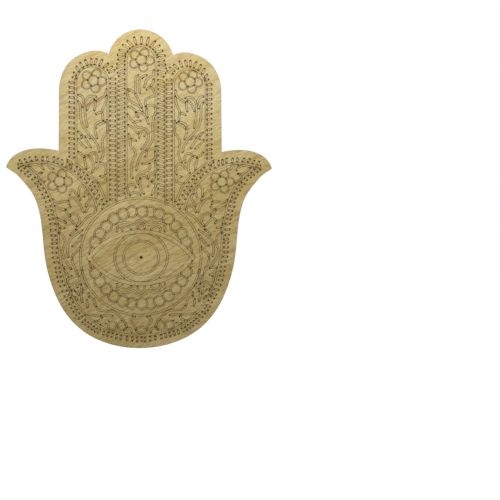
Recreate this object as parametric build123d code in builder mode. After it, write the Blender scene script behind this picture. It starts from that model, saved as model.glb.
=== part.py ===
"""Hamsa hand ornament: a flat hand cut from three-ply wood, with its pattern scored into the face veneer.

The hand hangs upright with its fingers up. +Z is up, the front looks along -Y, and the origin is the middle
of the flat back face. Five layers make the board: back veneer, glue line, core veneer, glue line, face veneer.
One cut through the whole board gives every layer the same outline. All lengths are in millimetres.
"""

import os
from math import cos, radians, sin

from build123d import *

# Overall size of the hand; its width is taken over the points of the thumbs before they are rounded off
hand_width = 127.25
hand_height = 152.4
thumb_tip_radius = 0.6

# Layers of the board, from the wall to the front
back_veneer_thickness = 0.85
glue_thickness = 0.10
core_thickness = 1.10
face_veneer_thickness = 0.85

# Scored pattern: fine grooves along the edges of its bands, shallow dashes and a pit for the eye's middle
score_width = 0.20
score_depth = 0.30
pit_depth = 0.50

# Dashes that edge the fingers, the thumbs and the palm
dash_width = 1.05
dash_gap = 0.35
finger_dash_length = 3.05
finger_dash_pitch = 2.36
finger_dash_turn = 9.0
middle_dash_length = 3.90
middle_dash_turn = 30.0
side_arch_dash_length = 3.50
middle_arch_dash_length = 4.20
arch_dash_turn = 15.0
rim_dash_length = 2.85
rim_dash_pitch = 2.20
rim_dash_inset = 5.10
web_dash_length = 3.10
web_dash_pitch = 2.35
outer_column_foot = 91.0
inner_column_foot = 71.0
middle_column_foot = 74.0

# Panels on the three fingers: tall windows with a round head, framed by a double line
frame_width = 1.05
divider_width = 0.55
middle_panel_radius = 6.62
middle_panel_head = 137.5
side_panel_radius = 7.00
side_panel_head = 127.2
side_panel_axis = 23.35

# Medallion on the palm: everything round on it is a little wider than high
medallion_height = 44.1
medallion_radius = 28.15
medallion_band = 1.05
widening_share = 1.030
bead_ring_radius = 22.10
bead_radius = 2.65
bead_band = 0.75
bead_turn = 12.4
bead_steps = (-6, -5, -4, -3, -2, -1, 0, 1, 2, 3, 4, 5, 6)
eye_height = 43.2
eye_half_length = 26.15
eye_upper_rise = 13.75
eye_lower_rise = 13.15
lid_width = 1.80
lid_corner_width = 2.75
iris_radius = 12.95
iris_band = 1.10
pupil_radius = 8.95
pupil_band = 0.95
eye_pit_width = 1.25

# Five-petalled flowers: one at the head of each finger, and one on each thumb
flower_centre_radius = 2.40
petal_radius = 2.30
petal_distance = 4.10
petal_count = 5
petal_turn = 68.0
flower_band = 0.70
middle_flower_height = 138.3
side_flower_height = 128.4
side_flower_axis = 22.75
thumb_flower_height = 80.0
thumb_flower_axis = 39.1

# Stretches of the palm's and the thumb's edges that the rim dashes follow, in shares of their lengths
palm_row_shares = (0.0, 0.94)
thumb_row_shares = (0.16, 0.97)

# Directions of the outline at the thumb's tip and at the notch between two fingers, as shares of a step
thumb_tip_shares = (1, 0.6)
notch_shares = (-1, -0.35)

# Outline of the right half, up from the lowest point: shares of the half width, and of the height
palm_edge_shares = [
    (0.0, 0.0),
    (0.239, 0.015),
    (0.377, 0.040),
    (0.522, 0.090),
    (0.605, 0.140),
    (0.659, 0.191),
    (0.718, 0.291),
    (0.736, 0.371),
    (0.764, 0.442),
    (0.814, 0.492),
    (0.884, 0.529),
    (1.0, 0.568),
]
thumb_top_shares = [
    (1.0, 0.568),
    (0.988, 0.580),
    (0.958, 0.598),
    (0.886, 0.617),
    (0.739, 0.627),
    (0.612, 0.620),
]
side_finger_shares = [
    (0.608, 0.762),
    (0.593, 0.849),
    (0.519, 0.900),
    (0.352, 0.931),
    (0.239, 0.9225),
]
web_row_shares = [
    (0.505, 0.572),
    (0.395, 0.525),
    (0.300, 0.456),
]
middle_share = 0.5

half_width = hand_width / 2
half_score = score_width / 2
core_start = back_veneer_thickness + glue_thickness
board_thickness = core_start + core_thickness + glue_thickness + face_veneer_thickness
medallion_outer = medallion_radius + medallion_band / 2


def level(height):
    """Turn a height above the lowest point of the hand into a height in the part's own frame."""
    return height - hand_height * middle_share


def from_shares(shares):
    """Turn shares of the half width and of the height into points of the outline."""
    return [(across * half_width, level(up * hand_height)) for across, up in shares]


thumb_points = from_shares(thumb_top_shares)
finger_points = from_shares(side_finger_shares)
notch = finger_points[-1]

# The right half of the outline, edge by edge, so that the dashes can follow each edge
with BuildLine() as palm_edge:
    Spline(*from_shares(palm_edge_shares), tangents=[(1, 0), thumb_tip_shares])

with BuildLine() as thumb_edge:
    Spline(*thumb_points)

with BuildLine() as web_row:
    ThreePointArc(*from_shares(web_row_shares))

with BuildLine() as half_outline:
    add(palm_edge.line)
    add(thumb_edge.line)
    Line(thumb_points[-1], finger_points[0])
    Spline(*finger_points, tangents=[(0, 1), notch_shares])
    ThreePointArc(notch, (0, level(hand_height)), (-notch[0], notch[1]))
    split(bisect_by=Plane.YZ, keep=Keep.TOP)
    mirror(about=Plane.YZ)

with BuildSketch() as hand_profile:
    make_face(half_outline.line)
    thumb_tips = hand_profile.vertices().sort_by(Axis.X)
    fillet([thumb_tips[0], thumb_tips[-1]], thumb_tip_radius)


def board_layer(start, thickness):
    """Extrude the hand's outline into one layer of the board, from its distance in front of the wall."""
    with BuildSketch(Plane.XZ.offset(start)) as layer:
        add(hand_profile.sketch_local)
    extrude(layer.sketch, amount=thickness)


def column_places(axis, foot, head, turn):
    """Places of the dashes in an upright column, evenly spaced down from its head."""
    count = int((head - foot) / finger_dash_pitch)
    return [Location((axis, head - (step + 0.5) * finger_dash_pitch), turn) for step in range(count)]


def arch_places(axis, head, panel_radius, length):
    """Places of the dashes that stand like rays round the head of a finger panel."""
    count = int(180 / arch_dash_turn) - 1
    middle = panel_radius + frame_width + dash_gap + length / 2
    rays = PolarLocations(middle, count, arch_dash_turn, 180 - 2 * arch_dash_turn, endpoint=True)
    return [Location((axis, head)) * ray for ray in rays.local_locations]


def edge_places(edge, inset, pitch, start_share, stop_share):
    """Places of the dashes that follow an edge, square to it and set in on its inner side."""
    count = int((stop_share - start_share) * edge.length / pitch)
    places = []
    for step in range(count):
        share = start_share + (step + 0.5) / count * (stop_share - start_share)
        along = edge % share
        spot = edge @ share + Vector(-along.Y, along.X) * inset
        places.append(Location((spot.X, spot.Y), 90 - Vector(1, 0).get_signed_angle(along)))
    return places


def mirrored(place):
    """Place of the same dash on the left half."""
    return Location((-place.position.X, place.position.Y), -place.orientation.Z)


# Dashes by length: those on the axis, and those of the right half, which the left half mirrors
middle_head = level(middle_panel_head)
side_head = level(side_panel_head)
finger_reach = side_panel_radius + frame_width + dash_gap + finger_dash_length / 2
middle_lean = cos(radians(middle_dash_turn)) * middle_dash_length / 2
middle_column = middle_panel_radius + frame_width + dash_gap + middle_lean
inner_column = side_panel_axis - finger_reach
outer_column = side_panel_axis + finger_reach
divider_axis = (inner_column - finger_dash_length / 2 + middle_column + middle_lean) / 2
middle_arch = arch_places(0, middle_head, middle_panel_radius, middle_arch_dash_length)
middle_dashes = [(middle_arch, middle_arch_dash_length)]
right_dashes = [
    (arch_places(side_panel_axis, side_head, side_panel_radius, side_arch_dash_length), side_arch_dash_length),
    (column_places(outer_column, level(outer_column_foot), side_head, finger_dash_turn), finger_dash_length),
    (column_places(inner_column, level(inner_column_foot), side_head, finger_dash_turn), finger_dash_length),
    (column_places(middle_column, level(middle_column_foot), middle_head, -middle_dash_turn), middle_dash_length),
    (edge_places(palm_edge.edge(), rim_dash_inset, rim_dash_pitch, *palm_row_shares), rim_dash_length),
    (edge_places(thumb_edge.edge(), rim_dash_inset, rim_dash_pitch, *thumb_row_shares), rim_dash_length),
    (edge_places(web_row.edge(), 0, web_dash_pitch, 0, 1), web_dash_length),
]
left_dashes = [([mirrored(place) for place in places], length) for places, length in right_dashes]

# Everything round on the palm, about the medallion's middle
medallion_level = level(medallion_height)
eye_level = level(eye_height)
flower_places = [
    (-side_flower_axis, level(side_flower_height)),
    (0, level(middle_flower_height)),
    (side_flower_axis, level(side_flower_height)),
    (-thumb_flower_axis, level(thumb_flower_height)),
    (thumb_flower_axis, level(thumb_flower_height)),
]
bead_places = [
    (
        side * bead_ring_radius * widening_share * sin(radians(step * bead_turn)),
        medallion_level + side * bead_ring_radius * cos(radians(step * bead_turn)),
    )
    for step in bead_steps
    for side in (-1, 1)
]


def almond(length, upper_rise, lower_rise):
    """Make an almond of two arcs between the corners of the eye."""
    with BuildLine() as lids:
        ThreePointArc((-length, eye_level), (0, eye_level + upper_rise), (length, eye_level))
        ThreePointArc((length, eye_level), (0, eye_level - lower_rise), (-length, eye_level))
    return make_face(lids.line, mode=Mode.PRIVATE)


def outer_eye(growth):
    """Make the almond outside the eyelid band."""
    return almond(eye_half_length + 2 * growth, eye_upper_rise + growth, eye_lower_rise + growth)


def inner_eye(growth):
    """Make the almond inside the eyelid band."""
    length = eye_half_length - lid_corner_width - 2 * growth
    return almond(length, eye_upper_rise - lid_width - growth, eye_lower_rise - lid_width - growth)


def round_band(height, radius, reach):
    """Draw a band that reaches either side of an ellipse a little wider than it is high."""
    with Locations((0, height)):
        Ellipse((radius + reach) * widening_share, radius + reach)
        Ellipse((radius - reach) * widening_share, radius - reach, mode=Mode.SUBTRACT)


def window(axis, head, radius, mode=Mode.ADD):
    """Draw a tall window with a round head, down to the medallion's middle."""
    with Locations((axis, (head + medallion_level) / 2)):
        Rectangle(2 * radius, head - medallion_level, mode=mode)
    with Locations((axis, head)):
        Circle(radius, mode=mode)


def finger_frame(axis, head, radius, growth):
    """Draw the band that frames a finger panel."""
    window(axis, head, radius + frame_width + growth)
    window(axis, head, radius - growth, mode=Mode.SUBTRACT)


def draw_frames(growth):
    """Draw the three finger frames and the dividers between them, down to the thumbs and the medallion."""
    finger_frame(side_panel_axis, side_head, side_panel_radius, growth)
    web_clearance = web_dash_length / 2 + dash_gap - growth
    trace(web_row.line, line_width=2 * web_clearance, mode=Mode.SUBTRACT)
    Polygon(web_row.line @ 0, web_row.line @ 1, (half_width, medallion_level), align=None, mode=Mode.SUBTRACT)
    with Locations((divider_axis, (side_head + medallion_level) / 2)):
        Rectangle(divider_width + 2 * growth, side_head - medallion_level)
    mirror(about=Plane.YZ)
    finger_frame(0, middle_head, middle_panel_radius, growth)
    with Locations((0, medallion_level)):
        Ellipse(medallion_outer * widening_share, medallion_outer, mode=Mode.SUBTRACT)


def draw_beads(growth):
    """Draw the chain of overlapping beads round the eye."""
    with Locations(*bead_places):
        Circle(bead_radius + bead_band / 2 + growth)
    with Locations(*bead_places):
        Circle(bead_radius - bead_band / 2 - growth, mode=Mode.SUBTRACT)
    add(outer_eye(growth), mode=Mode.SUBTRACT)


def draw_iris(growth):
    """Draw the iris, which the eyelids cover in part, and the pupil."""
    round_band(eye_level, iris_radius, iris_band / 2 + growth)
    add(inner_eye(growth), mode=Mode.INTERSECT)
    round_band(eye_level, pupil_radius, pupil_band / 2 + growth)


def draw_lids(growth):
    """Draw the band of the eyelids."""
    add(outer_eye(growth))
    add(inner_eye(growth), mode=Mode.SUBTRACT)


def draw_medallion(growth):
    """Draw the medallion's rim."""
    round_band(medallion_level, medallion_radius, medallion_band / 2 + growth)


def draw_flowers(growth):
    """Draw the flowers: a ring of overlapping petals, and a round centre that lies over them."""
    petals = PolarLocations(petal_distance, petal_count, petal_turn).local_locations
    petal_places = [Location(place) * petal for place in flower_places for petal in petals]
    with Locations(*petal_places):
        Circle(petal_radius + flower_band / 2 + growth)
    with Locations(*petal_places):
        Circle(petal_radius - flower_band / 2 - growth, mode=Mode.SUBTRACT)
    with Locations(*flower_places):
        Circle(flower_centre_radius + flower_band / 2 + growth)
        Circle(flower_centre_radius - flower_band / 2 - growth, mode=Mode.SUBTRACT)


def scored_edges(draw_bands):
    """Draw the grooves along both edges of a group of bands."""
    with BuildSketch() as wide:
        draw_bands(half_score)
    with BuildSketch() as narrow:
        draw_bands(-half_score)
    return wide.sketch - narrow.sketch


front_plane = Plane.XZ.offset(board_thickness)
band_groups = (draw_frames, draw_medallion, draw_beads, draw_lids, draw_iris, draw_flowers)

# A groove runs along both edges of every band
with BuildSketch(front_plane) as scores:
    add([scored_edges(draw_bands) for draw_bands in band_groups])

# Every dash is a shallow slot with round ends
with BuildSketch(front_plane) as dashes:
    for places, length in right_dashes + left_dashes + middle_dashes:
        with Locations(*places):
            SlotOverall(length, dash_width)

# A deeper pit marks the middle of the eye
with BuildSketch(front_plane) as eye_pit:
    with Locations((0, eye_level)):
        Circle(eye_pit_width / 2)

with BuildPart() as back_veneer:
    board_layer(0, back_veneer_thickness)
back_veneer.part.label = "back_veneer"

with BuildPart() as back_glue_line:
    board_layer(back_veneer_thickness, glue_thickness)
back_glue_line.part.label = "back_glue_line"

with BuildPart() as core_veneer:
    board_layer(core_start, core_thickness)
core_veneer.part.label = "core_veneer"

with BuildPart() as front_glue_line:
    board_layer(core_start + core_thickness, glue_thickness)
front_glue_line.part.label = "front_glue_line"

with BuildPart() as face_veneer:
    board_layer(board_thickness - face_veneer_thickness, face_veneer_thickness)
    extrude(scores.sketch, amount=-score_depth, mode=Mode.SUBTRACT)
    extrude(dashes.sketch, amount=-score_depth, mode=Mode.SUBTRACT)
    extrude(eye_pit.sketch, amount=-pit_depth, mode=Mode.SUBTRACT)
face_veneer.part.label = "face_veneer"

os.makedirs("parts", exist_ok=True)
export_step(back_veneer.part, "parts/back_veneer.step")
export_step(back_glue_line.part, "parts/back_glue_line.step")
export_step(core_veneer.part, "parts/core_veneer.step")
export_step(front_glue_line.part, "parts/front_glue_line.step")
export_step(face_veneer.part, "parts/face_veneer.step")
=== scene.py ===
"""Hamsa hand ornament: a flat hand cut from three-ply wood, its traditional pattern scored into the face.

The frame holds the board as five layers. Here the two outer veneers are made again as fine sheets: the face
with every scored line cut in as a groove and a pit wherever a stroke starts or stops, and the back with its
scorched rim. The core and the two glue lines stay as they are in the frame and get their finishes.

The pattern is drawn in a plane of its own, across and up from the middle of the hand, in metres. Most of its
strokes are bands: strips between two scored lines. Their places come from a grid of pixels laid over the
hand, counted across from the pattern's axis and down from the top of the picture.
"""

import logging
import math
from dataclasses import dataclass, field
from enum import Enum
from itertools import chain
from typing import Callable

import bpy
import numpy as np
from mathutils import Matrix, Vector
from mathutils.geometry import delaunay_2d_cdt


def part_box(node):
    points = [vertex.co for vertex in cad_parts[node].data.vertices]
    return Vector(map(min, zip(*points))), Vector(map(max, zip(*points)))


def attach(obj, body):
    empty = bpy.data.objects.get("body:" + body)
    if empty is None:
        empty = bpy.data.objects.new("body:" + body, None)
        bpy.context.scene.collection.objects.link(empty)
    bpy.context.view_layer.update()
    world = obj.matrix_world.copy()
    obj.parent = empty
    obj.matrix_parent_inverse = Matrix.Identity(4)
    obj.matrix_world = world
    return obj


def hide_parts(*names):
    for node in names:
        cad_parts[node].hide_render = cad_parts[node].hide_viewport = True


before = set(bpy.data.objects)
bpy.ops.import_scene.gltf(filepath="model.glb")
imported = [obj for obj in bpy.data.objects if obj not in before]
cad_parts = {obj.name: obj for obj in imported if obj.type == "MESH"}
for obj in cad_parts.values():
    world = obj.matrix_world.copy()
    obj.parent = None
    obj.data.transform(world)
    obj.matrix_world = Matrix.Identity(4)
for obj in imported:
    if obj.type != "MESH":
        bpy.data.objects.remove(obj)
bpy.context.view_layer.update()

Array = np.ndarray
Pixels = tuple[tuple[float, ...], ...]

logging.basicConfig(level=logging.INFO, format="%(message)s")
log = logging.getLogger("hamsa")

MM = 0.001
BODY = "root"
BURN = "burn"

# The picture that the hand was measured in, and where the pattern's own axis and its eye stand in it
PICTURE_PIXELS = 500.0
PATTERN_AXIS_PIXEL = 141.2
EYE_PIXEL_ROW = 257.7

BOARD_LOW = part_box("core_veneer")[0]
FACE_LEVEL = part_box("face_veneer")[0].y

# How the laser marks the wood
GROOVE_HALF_WIDTH = 0.11 * MM
GROOVE_DEPTH = 0.28 * MM
PIT_RADIUS = 0.37 * MM
PIT_DEPTH = 0.50 * MM
PIT_WALL_SHARE = 0.55
PIT_HEAT = 1.2
BAND_HALF_WIDTH = 0.50 * MM

# How finely the marks are drawn: steps along lines, then counts of points, then the sharpest mitre
CURVE_STEP = 0.55 * MM
ROUND_STEP = 0.40 * MM
FINE_STEP = 0.05 * MM
POINTS_PER_SPAN = 12
LEAST_CAP_SIDES = 3
PIT_SIDES = 9
SHORTEST_STRETCH = 4
MITRE_LIMIT = 0.4

# How places are welded: the distance in the triangulation's millimetres, and the decimals of metres kept
WELD_DISTANCE = 1e-4
WELD_DECIMALS = 7


@dataclass(frozen=True)
class Viewpoint:
    """The camera's stand before the face: a little aside, so that the hand's right half looks narrower."""

    lens: float = 98.0
    sensor: float = 36.0
    place: tuple[float, float, float] = (-55.0 * MM, FACE_LEVEL - 651.8 * MM, 1.1 * MM)
    yaw: float = math.radians(-9.40)
    pitch: float = math.radians(-2.62)
    roll: float = math.radians(0.18)

    def matrix(self) -> Matrix:
        """Return its place and turn: stood upright looking along +Y, rolled, pitched, then turned about Z."""
        upright = Matrix.Rotation(math.pi / 2 + self.pitch, 4, "X") @ Matrix.Rotation(self.roll, 4, "Z")
        return Matrix.Translation(self.place) @ Matrix.Rotation(self.yaw, 4, "Z") @ upright

    def on_face(self, pixels: Array) -> Array:
        """Find the places on the face that pixels of the picture show.

        Args:
            pixels: rows of pixels across and down from the picture's top left corner.

        Returns:
            One row for each pixel: x and z where its line of sight meets the plane of the face.
        """
        focal = self.lens / self.sensor * PICTURE_PIXELS
        middle = PICTURE_PIXELS / 2
        sights = np.column_stack([pixels[:, 0] - middle, middle - pixels[:, 1], np.full(len(pixels), -focal)])
        sights = sights @ np.array(self.matrix().to_3x3()).T
        reach = (FACE_LEVEL - self.place[1]) / sights[:, 1]
        return np.column_stack([self.place[0] + reach * sights[:, 0], self.place[2] + reach * sights[:, 2]])


def from_pixels(points: Pixels | Array) -> Array:
    """Turn grid pixels into places in the pattern's plane.

    Args:
        points: pairs of pixels across from the pattern's axis and down from the top of the picture.

    Returns:
        One row for each pair: across and up from the middle of the hand, in metres.
    """
    return Viewpoint().on_face(np.asarray(points, float).reshape(-1, 2) + (PATTERN_AXIS_PIXEL, 0.0))


@dataclass(frozen=True)
class Line:
    """A drawn line: its points as rows of across and up, and whether it closes on itself."""

    points: Array
    closed: bool = False

    def run(self) -> Array:
        """Return the points, with the first one repeated at the end of a closed line."""
        return np.vstack([self.points, self.points[:1]]) if self.closed else self.points

    def resampled(self, step: float) -> "Line":
        """Space the points evenly along the line.

        Args:
            step: the greatest distance between two points.

        Returns:
            The same line, read off at equal shares of its length, which is the sum of its chords.
        """
        run = self.run()
        reach = np.concatenate([[0.0], np.cumsum(np.hypot(*np.diff(run, axis=0).T))])
        stations = np.linspace(0.0, reach[-1], max(math.ceil(reach[-1] / step), 1) + 1)
        spaced = np.column_stack([np.interp(stations, reach, run[:, axis]) for axis in (0, 1)])
        return Line(spaced[:-1] if self.closed else spaced, self.closed)

    def smoothed(self, step: float) -> "Line":
        """Draw a smooth curve through the points.

        Args:
            step: the greatest distance between two points of the curve.

        Returns:
            The curve, whose every span is a cubic of its two points and of slopes that are half the step
            from the point before to the point after.
        """
        if len(self.points) < 3:
            return self.resampled(step)
        run = self.run()
        before, after = (run[-2], run[1]) if self.closed else (run[0], run[-1])
        slopes = np.diff(np.vstack([before, run, after]), axis=0)
        slopes = (slopes[:-1] + slopes[1:]) / 2
        share = np.linspace(0, 1, POINTS_PER_SPAN, endpoint=False)[None, :, None]
        start, stop = run[:-1, None], run[1:, None]
        spans = (
            start * (2 * share**3 - 3 * share**2 + 1)
            + slopes[:-1, None] * (share**3 - 2 * share**2 + share)
            + stop * (3 * share**2 - 2 * share**3)
            + slopes[1:, None] * (share**3 - share**2)
        ).reshape(-1, 2)
        curve = spans if self.closed else np.vstack([spans, run[-1:]])
        return Line(curve, self.closed).resampled(step)

    def sideways(self) -> Array:
        """Find which way is left at each point.

        Returns:
            Each point's step to the left for an offset of one: the mean of both edges' normals, mitred.
        """
        edges = np.diff(self.run(), axis=0)
        normals = np.column_stack([-edges[:, 1], edges[:, 0]]) / np.hypot(*edges.T)[:, None]
        if self.closed:
            before, after = np.roll(normals, 1, axis=0), normals
        else:
            before, after = np.vstack([normals[:1], normals]), np.vstack([normals, normals[-1:]])
        return (before + after) / np.maximum(1 + (before * after).sum(axis=1), MITRE_LIMIT)[:, None]

    def offset(self, distance: float) -> "Line":
        """Return the line moved to its left by a distance."""
        return Line(self.points + self.sideways() * distance, self.closed)

    def around(self, half_width: float, step: float) -> "Line":
        """Draw the outline of a band about an open line.

        Args:
            half_width: the band's reach to either side.
            step: the greatest distance between two points on its round ends.

        Returns:
            A closed line: along the left side, half round the last point, back and half round the first.
        """
        left, right = self.offset(half_width).points, self.offset(-half_width).points
        count = max(math.ceil(math.pi * half_width / step), LEAST_CAP_SIDES)
        turn = np.linspace(math.pi / 2, -math.pi / 2, count + 1)[1:-1]
        caps = []
        for tip, inner in ((self.points[-1], self.points[-2]), (self.points[0], self.points[1])):
            heading = math.atan2(*(tip - inner)[::-1])
            caps.append(tip + half_width * np.column_stack([np.cos(heading + turn), np.sin(heading + turn)]))
        return Line(np.vstack([left, caps[0], right[::-1], caps[1]]), closed=True)

    def mirrored(self) -> "Line":
        """Return the same line on the other side of the pattern's axis."""
        return Line(self.points * (-1, 1), self.closed)

    def distance(self, places: Array) -> Array:
        """Measure how far places lie from the line.

        Args:
            places: rows of across and up.

        Returns:
            For each place, the least distance to any edge: to its perpendicular's foot, kept on the edge.
        """
        run = self.run()
        start, edge = run[:-1], np.diff(run, axis=0)
        towards = places[:, None] - start[None]
        share = np.clip((towards * edge).sum(axis=2) / (edge**2).sum(axis=1), 0, 1)
        return np.sqrt(((towards - share[..., None] * edge) ** 2).sum(axis=2)).min(axis=1)


def ellipse(middle: tuple[float, float] | Array, across: float, up: float, step: float) -> Line:
    """Draw an ellipse: its middle, plus its two reaches times the cosine and the sine of a full turn.

    Args:
        middle: across and up.
        across: reach to either side.
        up: reach up and down.
        step: the greatest distance between two points.

    Returns:
        A closed line.
    """
    turn = np.linspace(0, 2 * math.pi, math.ceil(2 * math.pi * max(across, up) / step), endpoint=False)
    return Line(np.add(middle, np.column_stack([across * np.cos(turn), up * np.sin(turn)])), closed=True)


@dataclass(frozen=True)
class Scorch:
    """How dark one kind of stroke is burnt: its grooves' heat and the stain between them."""

    groove: float
    stain: float


class Heat(Enum):
    """The kinds of stroke: long, winding and round ones, the rim's dashes and the finer inner dashes."""

    FAST = Scorch(1.0, 0.12)
    SLOW = Scorch(1.35, 0.16)
    ROUND = Scorch(2.4, 0.20)
    DASH = Scorch(1.5, 0.12)
    FINE = Scorch(1.15, 0.10)


@dataclass
class ScoredPattern:
    """Everything that the laser drew: grooves, pits where it dwelt, and stained bands between grooves."""

    grooves: list[tuple[Line, float]] = field(default_factory=list)
    bands: list[tuple[Line, float, float]] = field(default_factory=list)
    pits: list[tuple[float, float, float]] = field(default_factory=list)

    def pit(self, place: Array, radius: float = PIT_RADIUS) -> None:
        """Add a pit of some radius at a place in the pattern's plane."""
        self.pits.append((float(place[0]), float(place[1]), radius))

    def groove(self, line: Line, heat: Heat) -> None:
        """Add one groove along a line in the pattern's plane."""
        self.grooves.append((line, heat.value.groove))

    def stain(self, line: Line, half_width: float, heat: Heat) -> None:
        """Add the smoke stain of a band about a line in the pattern's plane."""
        self.bands.append((line, half_width, heat.value.stain))

    def band(self, line: Line, half_width: float, heat: Heat) -> None:
        """Add a band with round ends about an open line: a groove round its outline, and its stain."""
        self.groove(line.around(half_width, ROUND_STEP), heat)
        self.stain(line, half_width, heat)

    def ribbon(
        self, line: Line, half_width: float, heat: Heat, hidden: Callable[[Array], Array] | None = None
    ) -> None:
        """Add a band with open ends: a groove along each side, its hidden stretches left out, and its stain.

        Args:
            line: the band's middle line.
            half_width: its reach to either side.
            heat: how strongly the laser burnt.
            hidden: says for rows of across and up which of them lie under something else.
        """
        for side in (-half_width, half_width):
            for stretch in visible(line.offset(side), hidden):
                self.groove(stretch, heat)
        for stretch in visible(line, hidden):
            self.stain(stretch, half_width, heat)

    def marks(self, places: Array) -> tuple[Array, Array]:
        """Work out how deep the laser cut and how dark it burnt.

        A groove is a V: its depth falls evenly from its middle line to its edge, and so does its burn, times
        the heat. A pit is a bowl: one minus the square of the distance over the radius. Where marks meet, the
        deeper and the darker one hold. Each mark looks only at places within its own box, which are found in
        order of x.

        Args:
            places: rows of x and z on the board.

        Returns:
            The depth in metres and the burn from 0 to 1, for each place.
        """
        depth, burn = np.zeros(len(places)), np.zeros(len(places))
        order = np.argsort(places[:, 0])
        ordered = places[order]

        def near(low: Array, high: Array) -> Array:
            """Find the places within a box.

            Args:
                low: the box's lower left corner.
                high: its upper right corner.

            Returns:
                The numbers of the places.
            """
            first, last = np.searchsorted(ordered[:, 0], (low[0], high[0]))
            within = (ordered[first:last, 1] >= low[1]) & (ordered[first:last, 1] <= high[1])
            return order[first:last][within]

        for line, half_width, share in self.bands:
            found = near(line.points.min(axis=0) - half_width, line.points.max(axis=0) + half_width)
            if len(found):
                covered = found[line.distance(places[found]) < half_width]
                burn[covered] = np.maximum(burn[covered], share)
        for line, heat in self.grooves:
            reach = GROOVE_HALF_WIDTH
            found = near(line.points.min(axis=0) - reach, line.points.max(axis=0) + reach)
            if len(found):
                share = np.clip(1 - line.distance(places[found]) / reach, 0, 1)
                depth[found] = np.maximum(depth[found], share * GROOVE_DEPTH)
                burn[found] = np.maximum(burn[found], np.minimum(share * heat, 1))
        for x, z, radius in self.pits:
            found = near(np.array([x - radius, z - radius]), np.array([x + radius, z + radius]))
            share = np.clip(1 - np.hypot(*(places[found] - (x, z)).T) ** 2 / radius**2, 0, 1)
            depth[found] = np.maximum(depth[found], share * PIT_DEPTH)
            burn[found] = np.maximum(burn[found], np.minimum(share * PIT_HEAT, 1))
        return depth, burn


def inside(places: Array, outline: Line) -> Array:
    """Tell which places lie inside a closed outline.

    Args:
        places: rows of across and up.
        outline: the closed line.

    Returns:
        For each place, whether a ray from it to the right crosses the outline an odd number of times.
    """
    start = outline.points[None]
    stop = np.roll(outline.points, -1, axis=0)[None]
    across, up = places[:, 0, None], places[:, 1, None]
    spans = (start[..., 1] > up) != (stop[..., 1] > up)
    rise = np.where(spans, stop[..., 1] - start[..., 1], 1.0)
    crossing = start[..., 0] + (up - start[..., 1]) / rise * (stop[..., 0] - start[..., 0])
    return (spans & (crossing > across)).sum(axis=1) % 2 == 1


def triangulate(points: Array, edges: Array, outline: Line) -> tuple[Array, Array, Array]:
    """Fill an outline with triangles that keep to the given edges.

    Args:
        points: rows of across and up, in metres.
        edges: pairs of point numbers that must be edges, which may cross.
        outline: the line to fill, drawn by the first of the points.

    Returns:
        The places of the mesh's points, its triangles, and for each given point its number in the mesh.
        The hull is filled first. Then the triangles outside go: their corners are all on the outline.
    """
    given = [Vector(place) for place in (points / MM).tolist()]
    fill_hull = 0
    made = delaunay_2d_cdt(given, edges.tolist(), [], fill_hull, WELD_DISTANCE, True)
    places, triangles = np.array([place[:] for place in made[0]]) * MM, np.array(made[2])
    merged = np.repeat(np.arange(len(places)), [len(sources) for sources in made[3]])
    number = np.empty(len(points), int)
    number[np.fromiter(chain.from_iterable(made[3]), int)] = merged
    doubtful = np.flatnonzero(np.isin(triangles, number[: len(outline.points)]).all(axis=1))
    kept = np.full(len(triangles), True)
    kept[doubtful] = inside(places[triangles[doubtful]].mean(axis=1), outline)
    return places, triangles[kept], number


def visible(line: Line, hidden: Callable[[Array], Array] | None) -> list[Line]:
    """Leave out the stretches of a line that lie under something else.

    Args:
        line: any line in the pattern's plane.
        hidden: says for rows of across and up which of them are hidden; with none, the whole line shows.

    Returns:
        The stretches that show, found on fine samples of the line and drawn with the usual step.
    """
    if hidden is None:
        return [line.resampled(CURVE_STEP)]
    fine = line.resampled(FINE_STEP)
    shown = ~hidden(fine.points)
    if shown.all():
        return [line.resampled(CURVE_STEP)]
    points = fine.points
    if line.closed:
        start = int(np.flatnonzero(~shown)[0])
        points, shown = np.roll(points, -start, axis=0), np.roll(shown, -start)
    changes = np.flatnonzero(np.diff(np.concatenate([[0], shown.astype(int), [0]])))
    spans = changes.reshape(-1, 2)
    stretches = [points[first:last] for first, last in spans if last - first > SHORTEST_STRETCH]
    return [Line(stretch).resampled(CURVE_STEP) for stretch in stretches]


# Rows and strokes of the pattern as grid pixels, across from the axis and down from the top. A dash is given
# by its two ends, and a stroke by the points that it runs through. Tables of the middle finger have both
# halves, the foot's dash stands alone in the middle, and the others have the left half.
SIDE_ARCH_DASHES = (
    (-68.5, 77.4, -65.2, 78.3), (-67.2, 72.6, -65, 75.6), (-64.7, 66.8, -62, 71.7), (-60.8, 63, -58.2, 68),
    (-56, 60.4, -53.8, 65.3), (-50.1, 59, -50.1, 64.6), (-44.8, 59.2, -46.6, 64.4),
    (-39.1, 60.2, -41.6, 65.4), (-33.3, 63.7, -37.4, 67.5), (-29.3, 66.6, -33.7, 70),
    (-26.6, 70.2, -31.8, 72.6),
)
WEB_DASHES = (
    (-64.3, 167.2, -66.4, 171.2), (-61.3, 170, -62.7, 174), (-57.7, 173, -60.3, 176.8),
    (-53.8, 175.6, -56.2, 179.2), (-52.2, 179.1, -54.5, 182.8), (-48.6, 182.4, -51, 185.9),
    (-46.5, 186.5, -49.2, 189.8), (-43.9, 190.5, -47, 194), (-42, 195.2, -44.4, 198.8),
    (-39.3, 200, -41.6, 204.1), (-34.5, 201.5, -37.6, 204.4), (-37.6, 204.4, -39.3, 208.5),
)
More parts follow.
